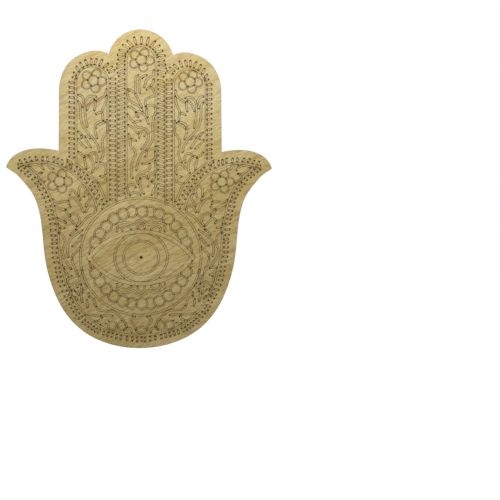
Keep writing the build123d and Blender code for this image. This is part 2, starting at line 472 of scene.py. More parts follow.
THUMB_DASHES = (
    (-121.5, 160.4, -119.7, 163.2), (-116.4, 159.4, -114.7, 162), (-111.6, 157.6, -109.9, 160.7),
    (-105.8, 157.2, -104.1, 160), (-98.6, 157, -98.6, 160.6), (-93.7, 157.3, -93.1, 161.6),
    (-87.4, 157.4, -87.3, 161.8), (-83.2, 159, -83.4, 163.4), (-79.2, 160, -79.1, 164.3),
    (-122.9, 164.3, -120.6, 166.6), (-122.7, 168.1, -122.7, 168.4), (-119.8, 170.8, -117, 168.8),
    (-116, 173.9, -113.6, 172), (-112.8, 176.4, -110.5, 174.7), (-108.8, 179.4, -106.4, 177.7),
    (-106, 183.3, -103.1, 181.9), (-103.4, 186.5, -100.8, 184.6), (-101.4, 190.1, -98.1, 188.5),
    (-98.8, 194.6, -95.6, 192.7), (-96.8, 198, -93.3, 197), (-95.3, 202, -91.8, 201),
    (-95.1, 206.8, -90.9, 206), (-118.3, 166, -115.8, 166.8),
)
PALM_DASHES = (
    (-93.4, 211, -89.9, 210.3), (-92.5, 215.4, -89, 214.8), (-91.5, 219.5, -88, 218.8),
    (-90.6, 224, -86.4, 224), (-90.3, 230, -86, 230), (-89.8, 235.4, -86, 235.5), (-88.8, 240, -85, 240),
    (-88.7, 243.5, -85, 243.4), (-88.6, 248, -84.8, 248), (-88.5, 252.9, -85, 252.8),
    (-88.2, 257.7, -83.8, 257.8), (-86.7, 262.5, -82.7, 263), (-85.6, 268, -81.9, 268),
    (-84.9, 272.3, -81.1, 272.3), (-84, 277, -80.4, 276.9), (-82.9, 281.6, -79, 281.4),
    (-80.9, 286.4, -77, 285.6), (-78.7, 291.5, -74.8, 290.6), (-76.5, 296.3, -72.7, 294.9),
    (-74.2, 300, -71, 297.9), (-71.9, 304, -68.6, 302.1), (-69.9, 308.1, -66.5, 306.9),
    (-67.6, 311.8, -64.7, 309.8), (-64.9, 315.1, -62, 313.1), (-62.1, 318.7, -58.9, 316.5),
    (-58.6, 322.3, -56, 320.2), (-56, 325, -53.2, 322.5), (-52.5, 327, -50.2, 324.3),
    (-49.3, 329.4, -47.4, 326.6), (-46.4, 331.3, -44.5, 328.5), (-43.1, 332.9, -41, 329.8),
    (-37.9, 334.6, -37.3, 331.5), (-33.8, 336, -32.8, 332.4), (-29.6, 337, -28.6, 333.9),
    (-25, 338.1, -24.3, 334.6), (-20.4, 339.1, -20, 335.8), (-14.2, 340.2, -14.2, 337),
    (-8.8, 340.6, -8.8, 337.2), (-3.9, 341.2, -4.1, 338),
)
FOOT_DASH = ((0.6, 341, 0.6, 337.8),)
MIDDLE_ARCH_DASHES = (
    (-18.2, 45, -11.6, 48.4), (-13.6, 41, -8.5, 46.3), (-7, 37.6, -5.1, 44.1), (0.2, 37.3, 0.2, 43.8),
    (7.4, 38, 5.6, 44.4), (13.9, 41.5, 9, 46.9), (18.2, 45.6, 12.1, 49.3), (21.3, 50.7, 14.2, 51.8),
    (23.6, 55.8, 16.3, 54.9), (23.1, 60.5, 17, 57.3), (24.1, 64.9, 17.8, 62), (24.7, 68.3, 18, 65.5),
    (24.2, 73.2, 17.2, 70.8), (22.3, 76.8, 17, 74.4), (-21.6, 50, -13.8, 51.6), (-23.4, 55, -16, 54.2),
    (-22.8, 59.6, -15.9, 56.8), (-24, 64, -16.8, 61.2), (-24, 68.2, -16.8, 65), (-23.4, 72.8, -16.8, 69.7),
    (-22.2, 76.2, -17, 73.9),
)

LEFT_FINGER_VINES = (
    (-63.2, 94.8, -60.6, 95.4, -58.4, 97.4, -57.4, 100, -57.8, 103.4, -58.8, 107),
    (-45, 96.9, -48, 96.1, -51.4, 96.4, -54, 98.4, -56, 102, -56.4, 108, -56, 114, -55.2, 120, -54, 127),
    (-63.3, 101.3, -61.4, 103.4, -60.9, 108, -60.8, 115, -60, 121, -57.6, 127, -54, 132, -49.6, 136.8,
     -45.8, 141.6, -43, 146.4, -42, 151.7),
    (-47.3, 99.3, -50.4, 102, -53, 106, -54.2, 110), (-46.4, 100.4, -45.9, 104.6, -46.9, 110.3),
    (-34.9, 89.2, -35.4, 93, -37.2, 96.3, -41, 99, -44.6, 101.2),
    (-34.6, 95.5, -35.3, 101.5, -37, 106.5, -39.2, 111, -38.5, 115.5, -38.1, 120.3),
    (-38.2, 121, -41.6, 121.6, -45, 123.8, -46.4, 127.2, -46.2, 131, -45.4, 134.6, -44, 138.3),
    (-36.4, 122.2, -40, 123.8, -43.4, 125.8, -45.2, 128),
    (-34.2, 120, -34, 126, -34.2, 132.6, -37, 135.6, -38.8, 140, -39, 145, -38.2, 150, -38.2, 155,
     -39.3, 159, -41.2, 161.6),
    (-62.8, 131.7, -60.2, 134, -57, 137, -54.4, 141, -52.4, 144.4, -50.4, 147.2),
    (-59.7, 135.6, -59.8, 138.3), (-55.8, 136.8, -53, 135.8, -51, 138.3),
    (-63.3, 139, -61.3, 142, -58.6, 145.2, -55, 147.8), (-63, 151.6, -60.4, 154.2, -57, 157.2),
    (-56.2, 156.2, -53.6, 155.6, -50.6, 158, -48.2, 162.6, -47.6, 168, -49.2, 172.6),
    (-52.6, 155.2, -50, 153.2, -46.8, 152.7, -44.6, 154.8, -44.3, 158.5, -44.8, 162.3),
    (-40.7, 176.2, -37, 177, -35.4, 180, -37.6, 182.8, -41, 183, -43.3, 182.8),
)
LEFT_FINGER_BRANCHES = (
    (-57, 158, -56.4, 161, -55.6, 165, -54.9, 169), (-39.6, 112, -42.4, 112.8, -45.1, 114.2),
    (-44.8, 168.4, -43.4, 165.8, -40.6, 163.8, -38.2, 163.4, -36, 165.4, -35, 169.4, -36, 174.3),
)
MIDDLE_FINGER_VINES = (
    (-2.8, 75.3, -5.2, 77.6, -5.9, 82, -5.9, 88, -5.8, 93.3),
    (5.3, 75.2, 2.2, 76, -1, 78.8, -2.2, 83, -2, 88, -1.2, 93),
    (12.6, 70.2, 12.3, 74.6, 8.6, 77.6, 5.2, 80, 4.4, 83.6, 3, 87.3),
    (12.4, 79.4, 11.6, 83, 9.6, 86.2, 5.4, 89.8), (-13, 106.8, -9.6, 107.4, -7, 109.6, -5.5, 112),
    (-13.6, 114.6, -12, 117.4, -9, 120.6, -6, 124.6, -4, 127.2, 0, 127.6, 4.6, 129.2, 7.2, 132.6,
     7.2, 137.5, 5.3, 142.5, 3, 146.3, 0.1, 149.3),
    (-12.8, 125, -9.4, 127, -6, 130.4, -2.7, 133.6),
    (-2.1, 138, -0.8, 133.4, 1.6, 131.4, 4, 133, 3.3, 136.4),
    (-5.2, 112.2, -2, 111.6, 2, 113.6, 5.4, 118.2, 7.3, 123.9), (5.6, 109, 5.3, 112.6, 6.2, 117.2),
    (4.8, 106.6, 8, 105.2, 12, 105.4, 14.4, 108.6, 14.4, 113, 12.4, 117.4, 11.6, 122, 11.3, 128, 11.7, 134,
     11.2, 139, 9.8, 143, 7.5, 146.8, 4.8, 150),
    (14.6, 146.3, 12.6, 148.5, 9, 149.6, 4, 151, 0.6, 153.6, -1.4, 157.6, -3.2, 162, -4.2, 166, -4.7, 170),
    (-12.5, 134.3, -11.4, 137.4, -11.1, 141.6, -10.6, 146, -7.6, 149, -5.8, 152.2, -6.1, 155.6, -8, 159.4,
     -9.3, 164, -9.8, 170, -10, 175.6, -8.6, 178.2),
    (-10, 139, -8, 139.7, -5.2, 140.8),
    (13.8, 151.5, 14.4, 155.6, 13.2, 159.4, 9, 161.6, 5.6, 163.4, 1.2, 163.7),
    (8.3, 163.7, 9, 166.6, 7.8, 169.5, 4, 171.3, -0.6, 173, -3.6, 175.6, -4.4, 179, -2.8, 184.3),
    (14, 160.8, 14.7, 167.4, 14, 171.6, 10.6, 173, 7.6, 175, 6.9, 179),
    (-0.8, 178.6, 1, 175.9, 4, 175.4, 6.9, 179),
    (-1.1, 178.4, -1.2, 184, -0.6, 188, 0.8, 191.2, 2.8, 193.8),
    (14, 175, 12.8, 178.6, 10.6, 181.2, 8, 184, 7, 186.3),
    (10.8, 181.6, 13.6, 183.6, 14.2, 187, 12, 190.6, 10.5, 195),
    (-5.7, 187.3, -7.8, 184.7, -11, 184.8, -13.4, 186.6, -13.4, 191, -11, 195.4),
)
MIDDLE_FINGER_BRANCHES = (
    (-13.7, 89.6, -13.8, 94, -12.2, 99.6, -8.4, 103, -4, 104.8, -1, 108, 1.2, 111.2),
    (-13.4, 89.4, -9, 91.2, -5, 95.6, -2.4, 101, 0.8, 107.6), (-5.4, 112.4, -4.6, 114.6, -3.1, 117.1),
    (-6.6, 122.4, -4, 121.4, -0.8, 121), (5.6, 151, 5.6, 153.8, 4.2, 156.4),
    (9.6, 87, 12.4, 90.4, 12.8, 95.6, 9, 97, 5.6, 99, 4.2, 102, 4.4, 106.4),
    (-11, 194, -7, 192.6, -3, 193.4, -0.8, 195),
)
MIDDLE_FINGER_DOTS = ((1, 78.8), (2.4, 77.6), (-11.7, 91.3))
THUMB_VINES = (
    (-112.8, 166.2, -108.4, 164.6, -103.6, 164.6, -100, 166.4, -97.8, 169.4),
    (-111.4, 166.8, -108.8, 169.8, -106, 172.2, -103, 173.2, -99.2, 172.8),
    (-99.2, 164, -96, 164, -93.4, 165.6, -91, 168.2, -87.9, 168.8),
    (-100.2, 173, -102.6, 175.6, -102.4, 178.4, -99.4, 180, -97, 182), (-73.7, 160, -69, 164.2),
    (-73.7, 162, -73, 164.6, -75.2, 167), (-71, 165, -70.2, 168.5),
    (-71.6, 194.9, -70.8, 191.4, -69, 189.8, -66, 192.6, -62.8, 196.6, -61, 200),
    (-72.6, 201, -71.4, 198.4, -68.4, 197.8, -65, 200, -61.6, 204, -59.2, 208.6, -57.9, 212.2),
    (-88, 199.6, -84.4, 202.2, -80.6, 202.2, -77, 201.4, -73.6, 201.6, -71.8, 204.5),
    (-86.2, 206, -82, 208.6, -77.6, 209.4, -73.5, 209.3, -70.6, 207),
    (-62.4, 196, -62.5, 191.4, -61.6, 187.4, -59.2, 185.6, -56.4, 187.6, -55.2, 191.4, -56.8, 196.6),
    (-52.8, 194, -51, 197, -51.5, 200, -54, 203, -55.4, 206.4),
    (-55.5, 212, -54.2, 208.8, -51.4, 206.2, -48.2, 205.8, -45.8, 208, -45.8, 211.6, -49, 214.6,
     -53.6, 217, -57, 220.6, -60, 224.4, -62.6, 227.4, -65.3, 229.7),
    (-83.7, 218, -81, 220.4, -77.6, 221.2, -75.2, 223.3),
    (-76.6, 220.8, -75, 218.9, -72.4, 218.7, -70, 220.4, -67.5, 223.4, -65, 226),
    (-76, 209.8, -74, 213.4, -71, 216.5),
    (-70.6, 214.8, -68, 213.7, -64.6, 214.6, -62.2, 218, -61.4, 222, -64.6, 226.2),
    (-83.2, 224, -81.4, 226.6, -79.2, 227.8, -77, 228.2), (-81.4, 228.4, -82.3, 233.3),
    (-82.1, 233, -79, 235, -76.6, 239, -76.2, 244, -78.3, 249, -78.3, 254, -76, 260, -72.6, 265,
     -69.8, 269),
    (-70.8, 235.3, -68, 232, -64.8, 229.9),
    (-58.8, 230.3, -62.6, 233, -68.2, 237, -72, 241, -73.6, 247, -73.8, 252, -72.8, 257),
    (-68.8, 246.3, -65.4, 244.4, -62, 240, -59.4, 235.4),
    (-69, 257.4, -67.4, 253.6, -64, 251, -61.4, 247.6), (-69, 259.8, -68.3, 264, -66, 268.6, -63.7, 274),
    (-77, 268.2, -73.4, 267.8, -69.8, 269.1),
    (-76.6, 269.6, -75.4, 272, -73.4, 274.9, -71.4, 276, -69.7, 276),
    (-72.6, 277.4, -73.7, 280, -73.3, 283, -71.3, 285.3, -68.9, 284.4, -66.5, 282.9, -64.3, 283.6,
     -63.6, 287.4),
    (-62.3, 276.4, -61.6, 280, -60.6, 284), (-59, 270.5, -59.2, 275, -58, 280, -56.3, 284),
    (-54.2, 286.4, -56.2, 289.4, -58.6, 292.4), (-59.7, 285.4, -59.9, 292, -60, 297, -58.8, 302.3),
    (-52.3, 293.4, -52.3, 296.8), (-54.3, 300, -54, 304, -53.5, 307.4), (-69.3, 290.6, -66.9, 290.5),
    (-71.6, 287.6, -70.7, 291.4, -69.4, 295.5), (-65.3, 292.2, -63.3, 291.9, -62.4, 295),
    (-65.8, 297.2, -63.8, 299.8),
)
FOOT_VINES = (
    (-52.4, 296.8, -49.6, 298, -47.2, 299.8, -46.2, 304, -44.4, 308, -41.6, 310.4, -35, 311, -29, 311.2,
     -25, 313.4, -21.6, 316.2, -18.6, 319.4, -16, 323, -14.3, 327.2),
    (-56, 315.2, -50, 315, -42, 316, -35, 315.6, -28.8, 315.8),
    (-40, 316, -39.2, 317.8, -41.2, 320, -43.6, 321.3, -46.4, 321.6),
    (-40.6, 324.6, -38, 324.4, -35.6, 323.6),
    (-16.8, 330.4, -14.4, 328.9, -11.2, 328.4, -9.8, 330, -9.6, 332.5),
    (-6.2, 317, -9, 318.3, -10.5, 320.3, -9, 323, -6.8, 326, -5.4, 329.8),
)
SIDE_DOTS = ((-78.7, 265.5), (-58.6, 289.5))
FOOT_DOTS = (
    (-32.9, 321.1), (-31.8, 321.7), (-19.6, 320.1), (-39, 317.6), (-43.7, 321.2), (-8.7, 316.4),
    (-45, 306.5),
)
FOOT_RINGS = ((-28.7, 326), (-19.1, 325.9))


@dataclass(frozen=True)
class DashColumn:
    """An upright column of dashes, evenly spaced, in grid pixels."""

    axis: float
    head: float
    foot: float
    count: int
    reach: tuple[float, float]

    def dashes(self) -> Array:
        """Space the dashes down the column.

        Returns:
            One row for each dash with both its ends: its place in the column, less and plus the reach.
        """
        down = np.linspace(self.head, self.foot, self.count)
        places = np.column_stack([np.full(self.count, self.axis), down])
        return np.hstack([places - self.reach, places + self.reach])


@dataclass(frozen=True)
class Dashes:
    """The rows of dashes that edge the fingers, the thumbs and the palm: bands with a pit at either end."""

    half_width: float = 0.51 * MM
    fine_pit: float = 0.32 * MM
    outer_columns: tuple[DashColumn, ...] = (
        DashColumn(-69.5, 82.6, 122.6, 9, (2.2, 0.4)),
        DashColumn(-69.5, 128.2, 143.8, 4, (2.2, 0.4)),
        DashColumn(-69.5, 148.7, 157.2, 3, (2.2, 0.4)),
    )
    inner_columns: tuple[DashColumn, ...] = (
        DashColumn(-28.3, 79, 116, 9, (2.3, 0.2)),
        DashColumn(-28.4, 121, 199.7, 17, (2.3, 0.2)),
    )
    middle_columns: tuple[DashColumn, ...] = (
        DashColumn(-19.5, 80.4, 194.6, 25, (2.7, -1.05)),
        DashColumn(20.05, 81.1, 194.6, 25, (2.6, 1.1)),
    )
    mirrored_tables: tuple[Pixels, ...] = (SIDE_ARCH_DASHES, WEB_DASHES, THUMB_DASHES, PALM_DASHES)
    plain_tables: tuple[Pixels, ...] = (MIDDLE_ARCH_DASHES, FOOT_DASH)

    def draw(self, pattern: ScoredPattern) -> None:
        """Draw every dash.

        Args:
            pattern: takes the strokes.
        """
        outer = [column.dashes() for column in self.outer_columns]
        rows = (
            (np.vstack(outer + [*map(np.array, self.mirrored_tables)]), True, Heat.DASH, PIT_RADIUS),
            (np.vstack([*map(np.array, self.plain_tables)]), False, Heat.DASH, PIT_RADIUS),
            (np.vstack([column.dashes() for column in self.inner_columns]), True, Heat.FINE, self.fine_pit),
            (np.vstack([column.dashes() for column in self.middle_columns]), False, Heat.FINE, self.fine_pit),
        )
        for table, on_both, heat, pit in rows:
            lines = [Line(from_pixels(dash)) for dash in table]
            for line in lines + [line.mirrored() for line in lines if on_both]:
                pattern.band(line, self.half_width, heat)
                for end in line.points:
                    pattern.pit(end, pit)
            log.info("dashes: %d%s", len(table), " on both halves" if on_both else "")


@dataclass(frozen=True)
class Medallion:
    """The round frame on the palm, a little wider than high."""

    height: float = 44.1 * MM
    radius: float = 28.14 * MM
    widening: float = 1.030

    @property
    def middle(self) -> tuple[float, float]:
        """Return the medallion's middle in the pattern's plane."""
        return 0.0, BOARD_LOW.z + self.height

    def covers(self, places: Array, margin: float = 0.0) -> Array:
        """Tell which places lie on the medallion, or within a margin of it."""
        across, up = (places - self.middle).T
        return np.hypot(across / self.widening, up) < self.radius + margin

    def draw(self, pattern: ScoredPattern) -> None:
        """Draw the rim.

        Args:
            pattern: takes the strokes.
        """
        rim = ellipse(self.middle, self.radius * self.widening, self.radius, CURVE_STEP)
        pattern.ribbon(rim, BAND_HALF_WIDTH, Heat.FAST)
        log.info("medallion rim")


@dataclass(frozen=True)
class FingerFrames:
    """The framed windows of the three fingers, with round heads, and the dividers between them."""

    medallion: Medallion
    left_window: tuple[float, float, float] = (-23.30 * MM, 127.2 * MM, 7.55 * MM)
    right_window: tuple[float, float, float] = (23.45 * MM, 126.2 * MM, 7.85 * MM)
    middle_window: tuple[float, float, float] = (0.0, 137.5 * MM, 7.15 * MM)
    divider_axis: float = 11.60 * MM
    divider_half_width: float = 0.30 * MM
    web_row: Pixels = ((-66, 163.5), (-60, 167.6), (-50, 176.2), (-42, 186), (-37.6, 196), (-36, 200))
    palm_row: Pixels = (
        (-78, 168.2), (-70, 172), (-62, 178.6), (-55, 186.4), (-49.6, 194), (-45.6, 203), (-44, 210),
    )

    def window(self, axis: float, head: float, radius: float) -> Line:
        """Draw one window: up its left side, round its head by a half turn, and down its right side.

        Args:
            axis: where its upright axis stands, across from the middle of the hand.
            head: the height of its head's centre above the hand's foot.
            radius: the head's radius, which is half the window's width.

        Returns:
            An open line from the medallion's middle up and back down to it.
        """
        turn = np.linspace(math.pi, 0, math.ceil(math.pi * radius / CURVE_STEP))
        arch = np.column_stack([axis + radius * np.cos(turn), BOARD_LOW.z + head + radius * np.sin(turn)])
        foot = self.medallion.middle[1]
        return Line(np.vstack([[axis - radius, foot], arch, [axis + radius, foot]]))

    def draw(self, pattern: ScoredPattern) -> None:
        """Draw the frames, the dividers and the rows of the web.

        Args:
            pattern: takes the strokes.
        """
        web, palm = (Line(from_pixels(row)).smoothed(CURVE_STEP) for row in (self.web_row, self.palm_row))

        def below(places: Array) -> Array:
            """Tell which places lie on the medallion or outside the row of the web.

            Args:
                places: rows of across and up.

            Returns:
                For each place, whether the window's line is left out there.
            """
            level = np.interp(places[:, 1], web.points[::-1, 1], np.abs(web.points[::-1, 0]))
            outside = (np.abs(places[:, 0]) > level - BAND_HALF_WIDTH) & (places[:, 1] < web.points[0, 1])
            return outside | self.medallion.covers(places, BAND_HALF_WIDTH)

        for window in (self.left_window, self.right_window, self.middle_window):
            pattern.ribbon(self.window(*window), BAND_HALF_WIDTH, Heat.FAST, below)
        for side in (-1, 1):
            divider = np.array([[1, BOARD_LOW.z + self.left_window[1]], [1, self.medallion.middle[1]]])
            line = Line(divider * (side * self.divider_axis, 1))
            pattern.ribbon(line, self.divider_half_width, Heat.FAST, self.medallion.covers)
        for row in (web, web.mirrored(), palm, palm.mirrored()):
            pattern.ribbon(row, BAND_HALF_WIDTH, Heat.FAST, self.medallion.covers)
        log.info("finger frames, dividers and web rows")


@dataclass(frozen=True)
class Eye:
    """The eye on the medallion: two lids of two lines each, an iris partly under them, a pupil and a spot."""

    height: float = 43.65 * MM
    half_length: float = 26.15 * MM
    upper_rise: float = 13.35 * MM
    lower_rise: float = 13.55 * MM
    lid_width: float = 1.80 * MM
    corner_width: float = 2.75 * MM
    iris_radius: float = 12.10 * MM
    pupil_radius: float = 8.00 * MM
    widening: float = 1.045
    spot_radius: float = 0.95 * MM
    corner_pit: float = 0.7 * PIT_RADIUS
    lid_pits: Pixels = ((18, 238.2), (-18, 238.3), (18.2, 277.8), (-17, 278.4))

    @property
    def middle(self) -> tuple[float, float]:
        """Return the eye's middle in the pattern's plane."""
        return 0.0, BOARD_LOW.z + self.height

    def lid(self, length: float, rise: float) -> Line:
        """Draw one lid: the arc of the circle through both corners that rises so far above the middle.

        Args:
            length: from the middle to a corner.
            rise: how far the lid rises, or less than nothing for a lower lid.

        Returns:
            An open line from corner to corner.
        """
        sign = math.copysign(1, rise)
        radius = self.lid_radius(length, abs(rise))
        turn = np.linspace(-sign, sign, math.ceil(2 * length / CURVE_STEP)) * math.asin(length / radius)
        up = sign * radius * (np.cos(turn) - 1) + rise
        return Line(np.column_stack([radius * np.sin(turn), up]) + self.middle)

    @staticmethod
    def lid_radius(length: float, rise: float) -> float:
        """Return a lid's radius: the sum of the squares of length and rise, over twice the rise."""
        return (length**2 + rise**2) / (2 * rise)

    def covers(self, places: Array, shrink: float = 0.0) -> Array:
        """Tell which places lie between the outer lids, or between lids moved inwards.

        Args:
            places: rows of across and up.
            shrink: 0 for the outer lids and 1 for the inner ones.

        Returns:
            For each place, whether both lids' circles hold it.
        """
        length = self.half_length - shrink * self.corner_width
        held = np.full(len(places), True)
        for outer_rise, sign in ((self.upper_rise, 1), (self.lower_rise, -1)):
            rise = outer_rise - shrink * self.lid_width
            radius = self.lid_radius(length, rise)
            centre = np.add(self.middle, (0.0, sign * (rise - radius)))
            held &= np.hypot(*(places - centre).T) < radius
        return held

    def draw(self, pattern: ScoredPattern) -> None:
        """Draw the lids, the iris, the pupil and the spot in the middle.

        Args:
            pattern: takes the strokes.
        """
        inner = self.half_length - self.corner_width
        for rise in (self.upper_rise, -self.lower_rise):
            pattern.groove(self.lid(self.half_length, rise), Heat.FAST)
            pattern.groove(self.lid(inner, rise - math.copysign(self.lid_width, rise)), Heat.FAST)
        for side in (-1, 1):
            pattern.pit(np.add(self.middle, (side * self.half_length, 0.0)), self.corner_pit)
            pattern.pit(np.add(self.middle, (side * inner, 0.0)), self.corner_pit)
        iris = ellipse(self.middle, self.iris_radius * self.widening, self.iris_radius, CURVE_STEP)
        pupil = ellipse(self.middle, self.pupil_radius * self.widening, self.pupil_radius, CURVE_STEP)
        pattern.ribbon(iris, BAND_HALF_WIDTH, Heat.FAST, lambda places: ~self.covers(places, shrink=1.0))
        pattern.ribbon(pupil, BAND_HALF_WIDTH, Heat.FAST)
        for place in from_pixels(self.lid_pits):
            pattern.pit(place)
        pattern.pit(np.array(self.middle), self.spot_radius)
        log.info("eye")


def below_eye(pixels: Array) -> Array:
    """Return the mirror images, below the eye, of pixels above it."""
    return pixels * (1, -1) + (0, 2 * EYE_PIXEL_ROW)


@dataclass(frozen=True)
class BeadChain:
    """The two chains of overlapping beads above and below the eye.

    The middle bead of a chain lies on top. Of the others, each lies over its inner neighbour. A short tip
    ends the chain at each corner of the eye.
    """

    eye: Eye
    places: Pixels = (
        (0.7, 211.7), (-9.4, 211.9), (-18.4, 214.1), (-27.4, 218.9), (-35, 226.3), (-41.3, 234),
        (-45.8, 242.6),
    )
    tip: Pixels = ((-50, 247.4), (-51.3, 250.4), (-51.8, 253.8))
    bead_radius: float = 2.60 * MM
    half_width: float = 0.38 * MM
    pit_radius: float = 0.31 * MM

    def chains(self) -> list[Array]:
        """Place the beads.

        Returns:
            The middles of four runs of beads, each from a middle bead out to a corner of the eye.
        """
        upper = np.asarray(self.places)
        halves = [from_pixels(half) for half in (upper, below_eye(upper))]
        return halves + [np.vstack([half[:1], half[1:] * (-1, 1)]) for half in halves]

    def draw(self, pattern: ScoredPattern) -> None:
        """Draw the beads: rims hidden by the beads over them and by the eye, with pits where they stop.

        Args:
            pattern: takes the strokes.
        """
        outer, inner = self.bead_radius + self.half_width, self.bead_radius - self.half_width
        chains = self.chains()
        for run in chains:
            overs = [[run[0], run[2]], *([over] for over in run[3:]), []]
            for middle, over in zip(run[1:], overs):
                self.bead(pattern, middle, over, outer, inner)
        for run in chains[:2]:
            self.bead(pattern, run[0], [], outer, inner)
        upper = np.asarray(self.tip)
        for half in (upper, below_eye(upper)):
            line = Line(from_pixels(half)).smoothed(ROUND_STEP)
            for side in (line, line.mirrored()):
                pattern.band(side, self.half_width, Heat.ROUND)
                pattern.pit(side.points[-1], self.pit_radius)
        log.info("beads: %d", 2 + sum(len(run) - 1 for run in chains))

    def bead(
        self, pattern: ScoredPattern, middle: Array, over: list[Array], outer: float, inner: float
    ) -> None:
        """Draw one bead.

        Args:
            pattern: what it is drawn into.
            middle: the bead's middle.
            over: the middles of the beads that lie over it.
            outer: the radius of the rim's outer line.
            inner: the radius of its inner line.
        """

        def hidden(places: Array) -> Array:
            """Tell which places lie under the eye or under a bead that lies over this one.

            Args:
                places: rows of across and up.

            Returns:
                For each place, whether it is hidden.
            """
            under = self.eye.covers(places)
            for top in over:
                under |= np.hypot(*(places - top).T) < outer - FINE_STEP
            return under

        for radius in (outer, inner):
            for stretch in visible(ellipse(middle, radius, radius, ROUND_STEP), hidden):
                pattern.groove(stretch, Heat.ROUND)
                if radius == outer and not stretch.closed:
                    pattern.pit(stretch.points[0], self.pit_radius)
                    pattern.pit(stretch.points[-1], self.pit_radius)
        for stretch in visible(ellipse(middle, self.bead_radius, self.bead_radius, ROUND_STEP), hidden):
            pattern.stain(stretch, self.half_width, Heat.ROUND)


@dataclass(frozen=True)
class Flowers:
    """The five-petalled flowers of the fingers and the thumbs: a ring of petals under a round centre."""

    centre_radius: float = 2.41 * MM
    petal_radius: float = 2.08 * MM
    petal_distance: float = 3.75 * MM
    petals: int = 5
    spread: tuple[float, float] = (1.06, 0.95)
    turn: float = math.radians(-4)
    thumb_turn: float = 0.0
    half_width: float = 0.27 * MM
    pit_radius: float = 0.42 * MM
    places: Pixels = ((-47.9, 80.7), (0.1, 59.9), (48.7, 81.7))
    thumb_places: Pixels = ((-81.8, 181.4), (80.7, 181.7))

    def flower(self, pattern: ScoredPattern, middle: Array, turn: float) -> None:
        """Draw one flower.

        Args:
            pattern: what it is drawn into.
            middle: the flower's middle in the pattern's plane.
            turn: the direction of its first petal.
        """
        turns = turn + np.arange(self.petals) * 2 * math.pi / self.petals
        spokes = np.column_stack([np.cos(turns), np.sin(turns)]) * self.spread
        middles = middle + self.petal_distance * spokes
        outer, inner = self.petal_radius + self.half_width, self.petal_radius - self.half_width
        centre = self.centre_radius

        def under_centre(places: Array) -> Array:
            """Tell which places lie under the centre."""
            return np.hypot(*(places - middle).T) < centre + self.half_width

        def hidden(places: Array) -> Array:
            """Tell which places lie in a petal's rim or under the centre."""
            in_petals = (np.hypot(*(places[:, None] - middles[None]).T) < outer - FINE_STEP).any(axis=0)
            return in_petals | under_centre(places)

        for petal in middles:
            for stretch in visible(ellipse(petal, outer, outer, ROUND_STEP), hidden):
                pattern.groove(stretch, Heat.ROUND)
            for stretch in visible(ellipse(petal, inner, inner, ROUND_STEP), under_centre):
                pattern.groove(stretch, Heat.ROUND)
            rim = ellipse(petal, self.petal_radius, self.petal_radius, ROUND_STEP)
            for stretch in visible(rim, under_centre):
                pattern.stain(stretch, self.half_width, Heat.ROUND)
        pattern.ribbon(ellipse(middle, centre, centre, ROUND_STEP), self.half_width, Heat.ROUND)
        for between in turns + math.pi / self.petals:
            spoke = np.array([math.cos(between), math.sin(between)])
            pattern.pit(middle + (centre + self.half_width) * spoke, self.pit_radius)

    def draw(self, pattern: ScoredPattern) -> None:
        """Draw all the flowers.

        Args:
            pattern: takes the strokes.
        """
        for middle in from_pixels(self.places):
            self.flower(pattern, middle, self.turn)
        for middle in from_pixels(self.thumb_places):
            self.flower(pattern, middle, self.thumb_turn)
        log.info("flowers: %d", len(self.places) + len(self.thumb_places))


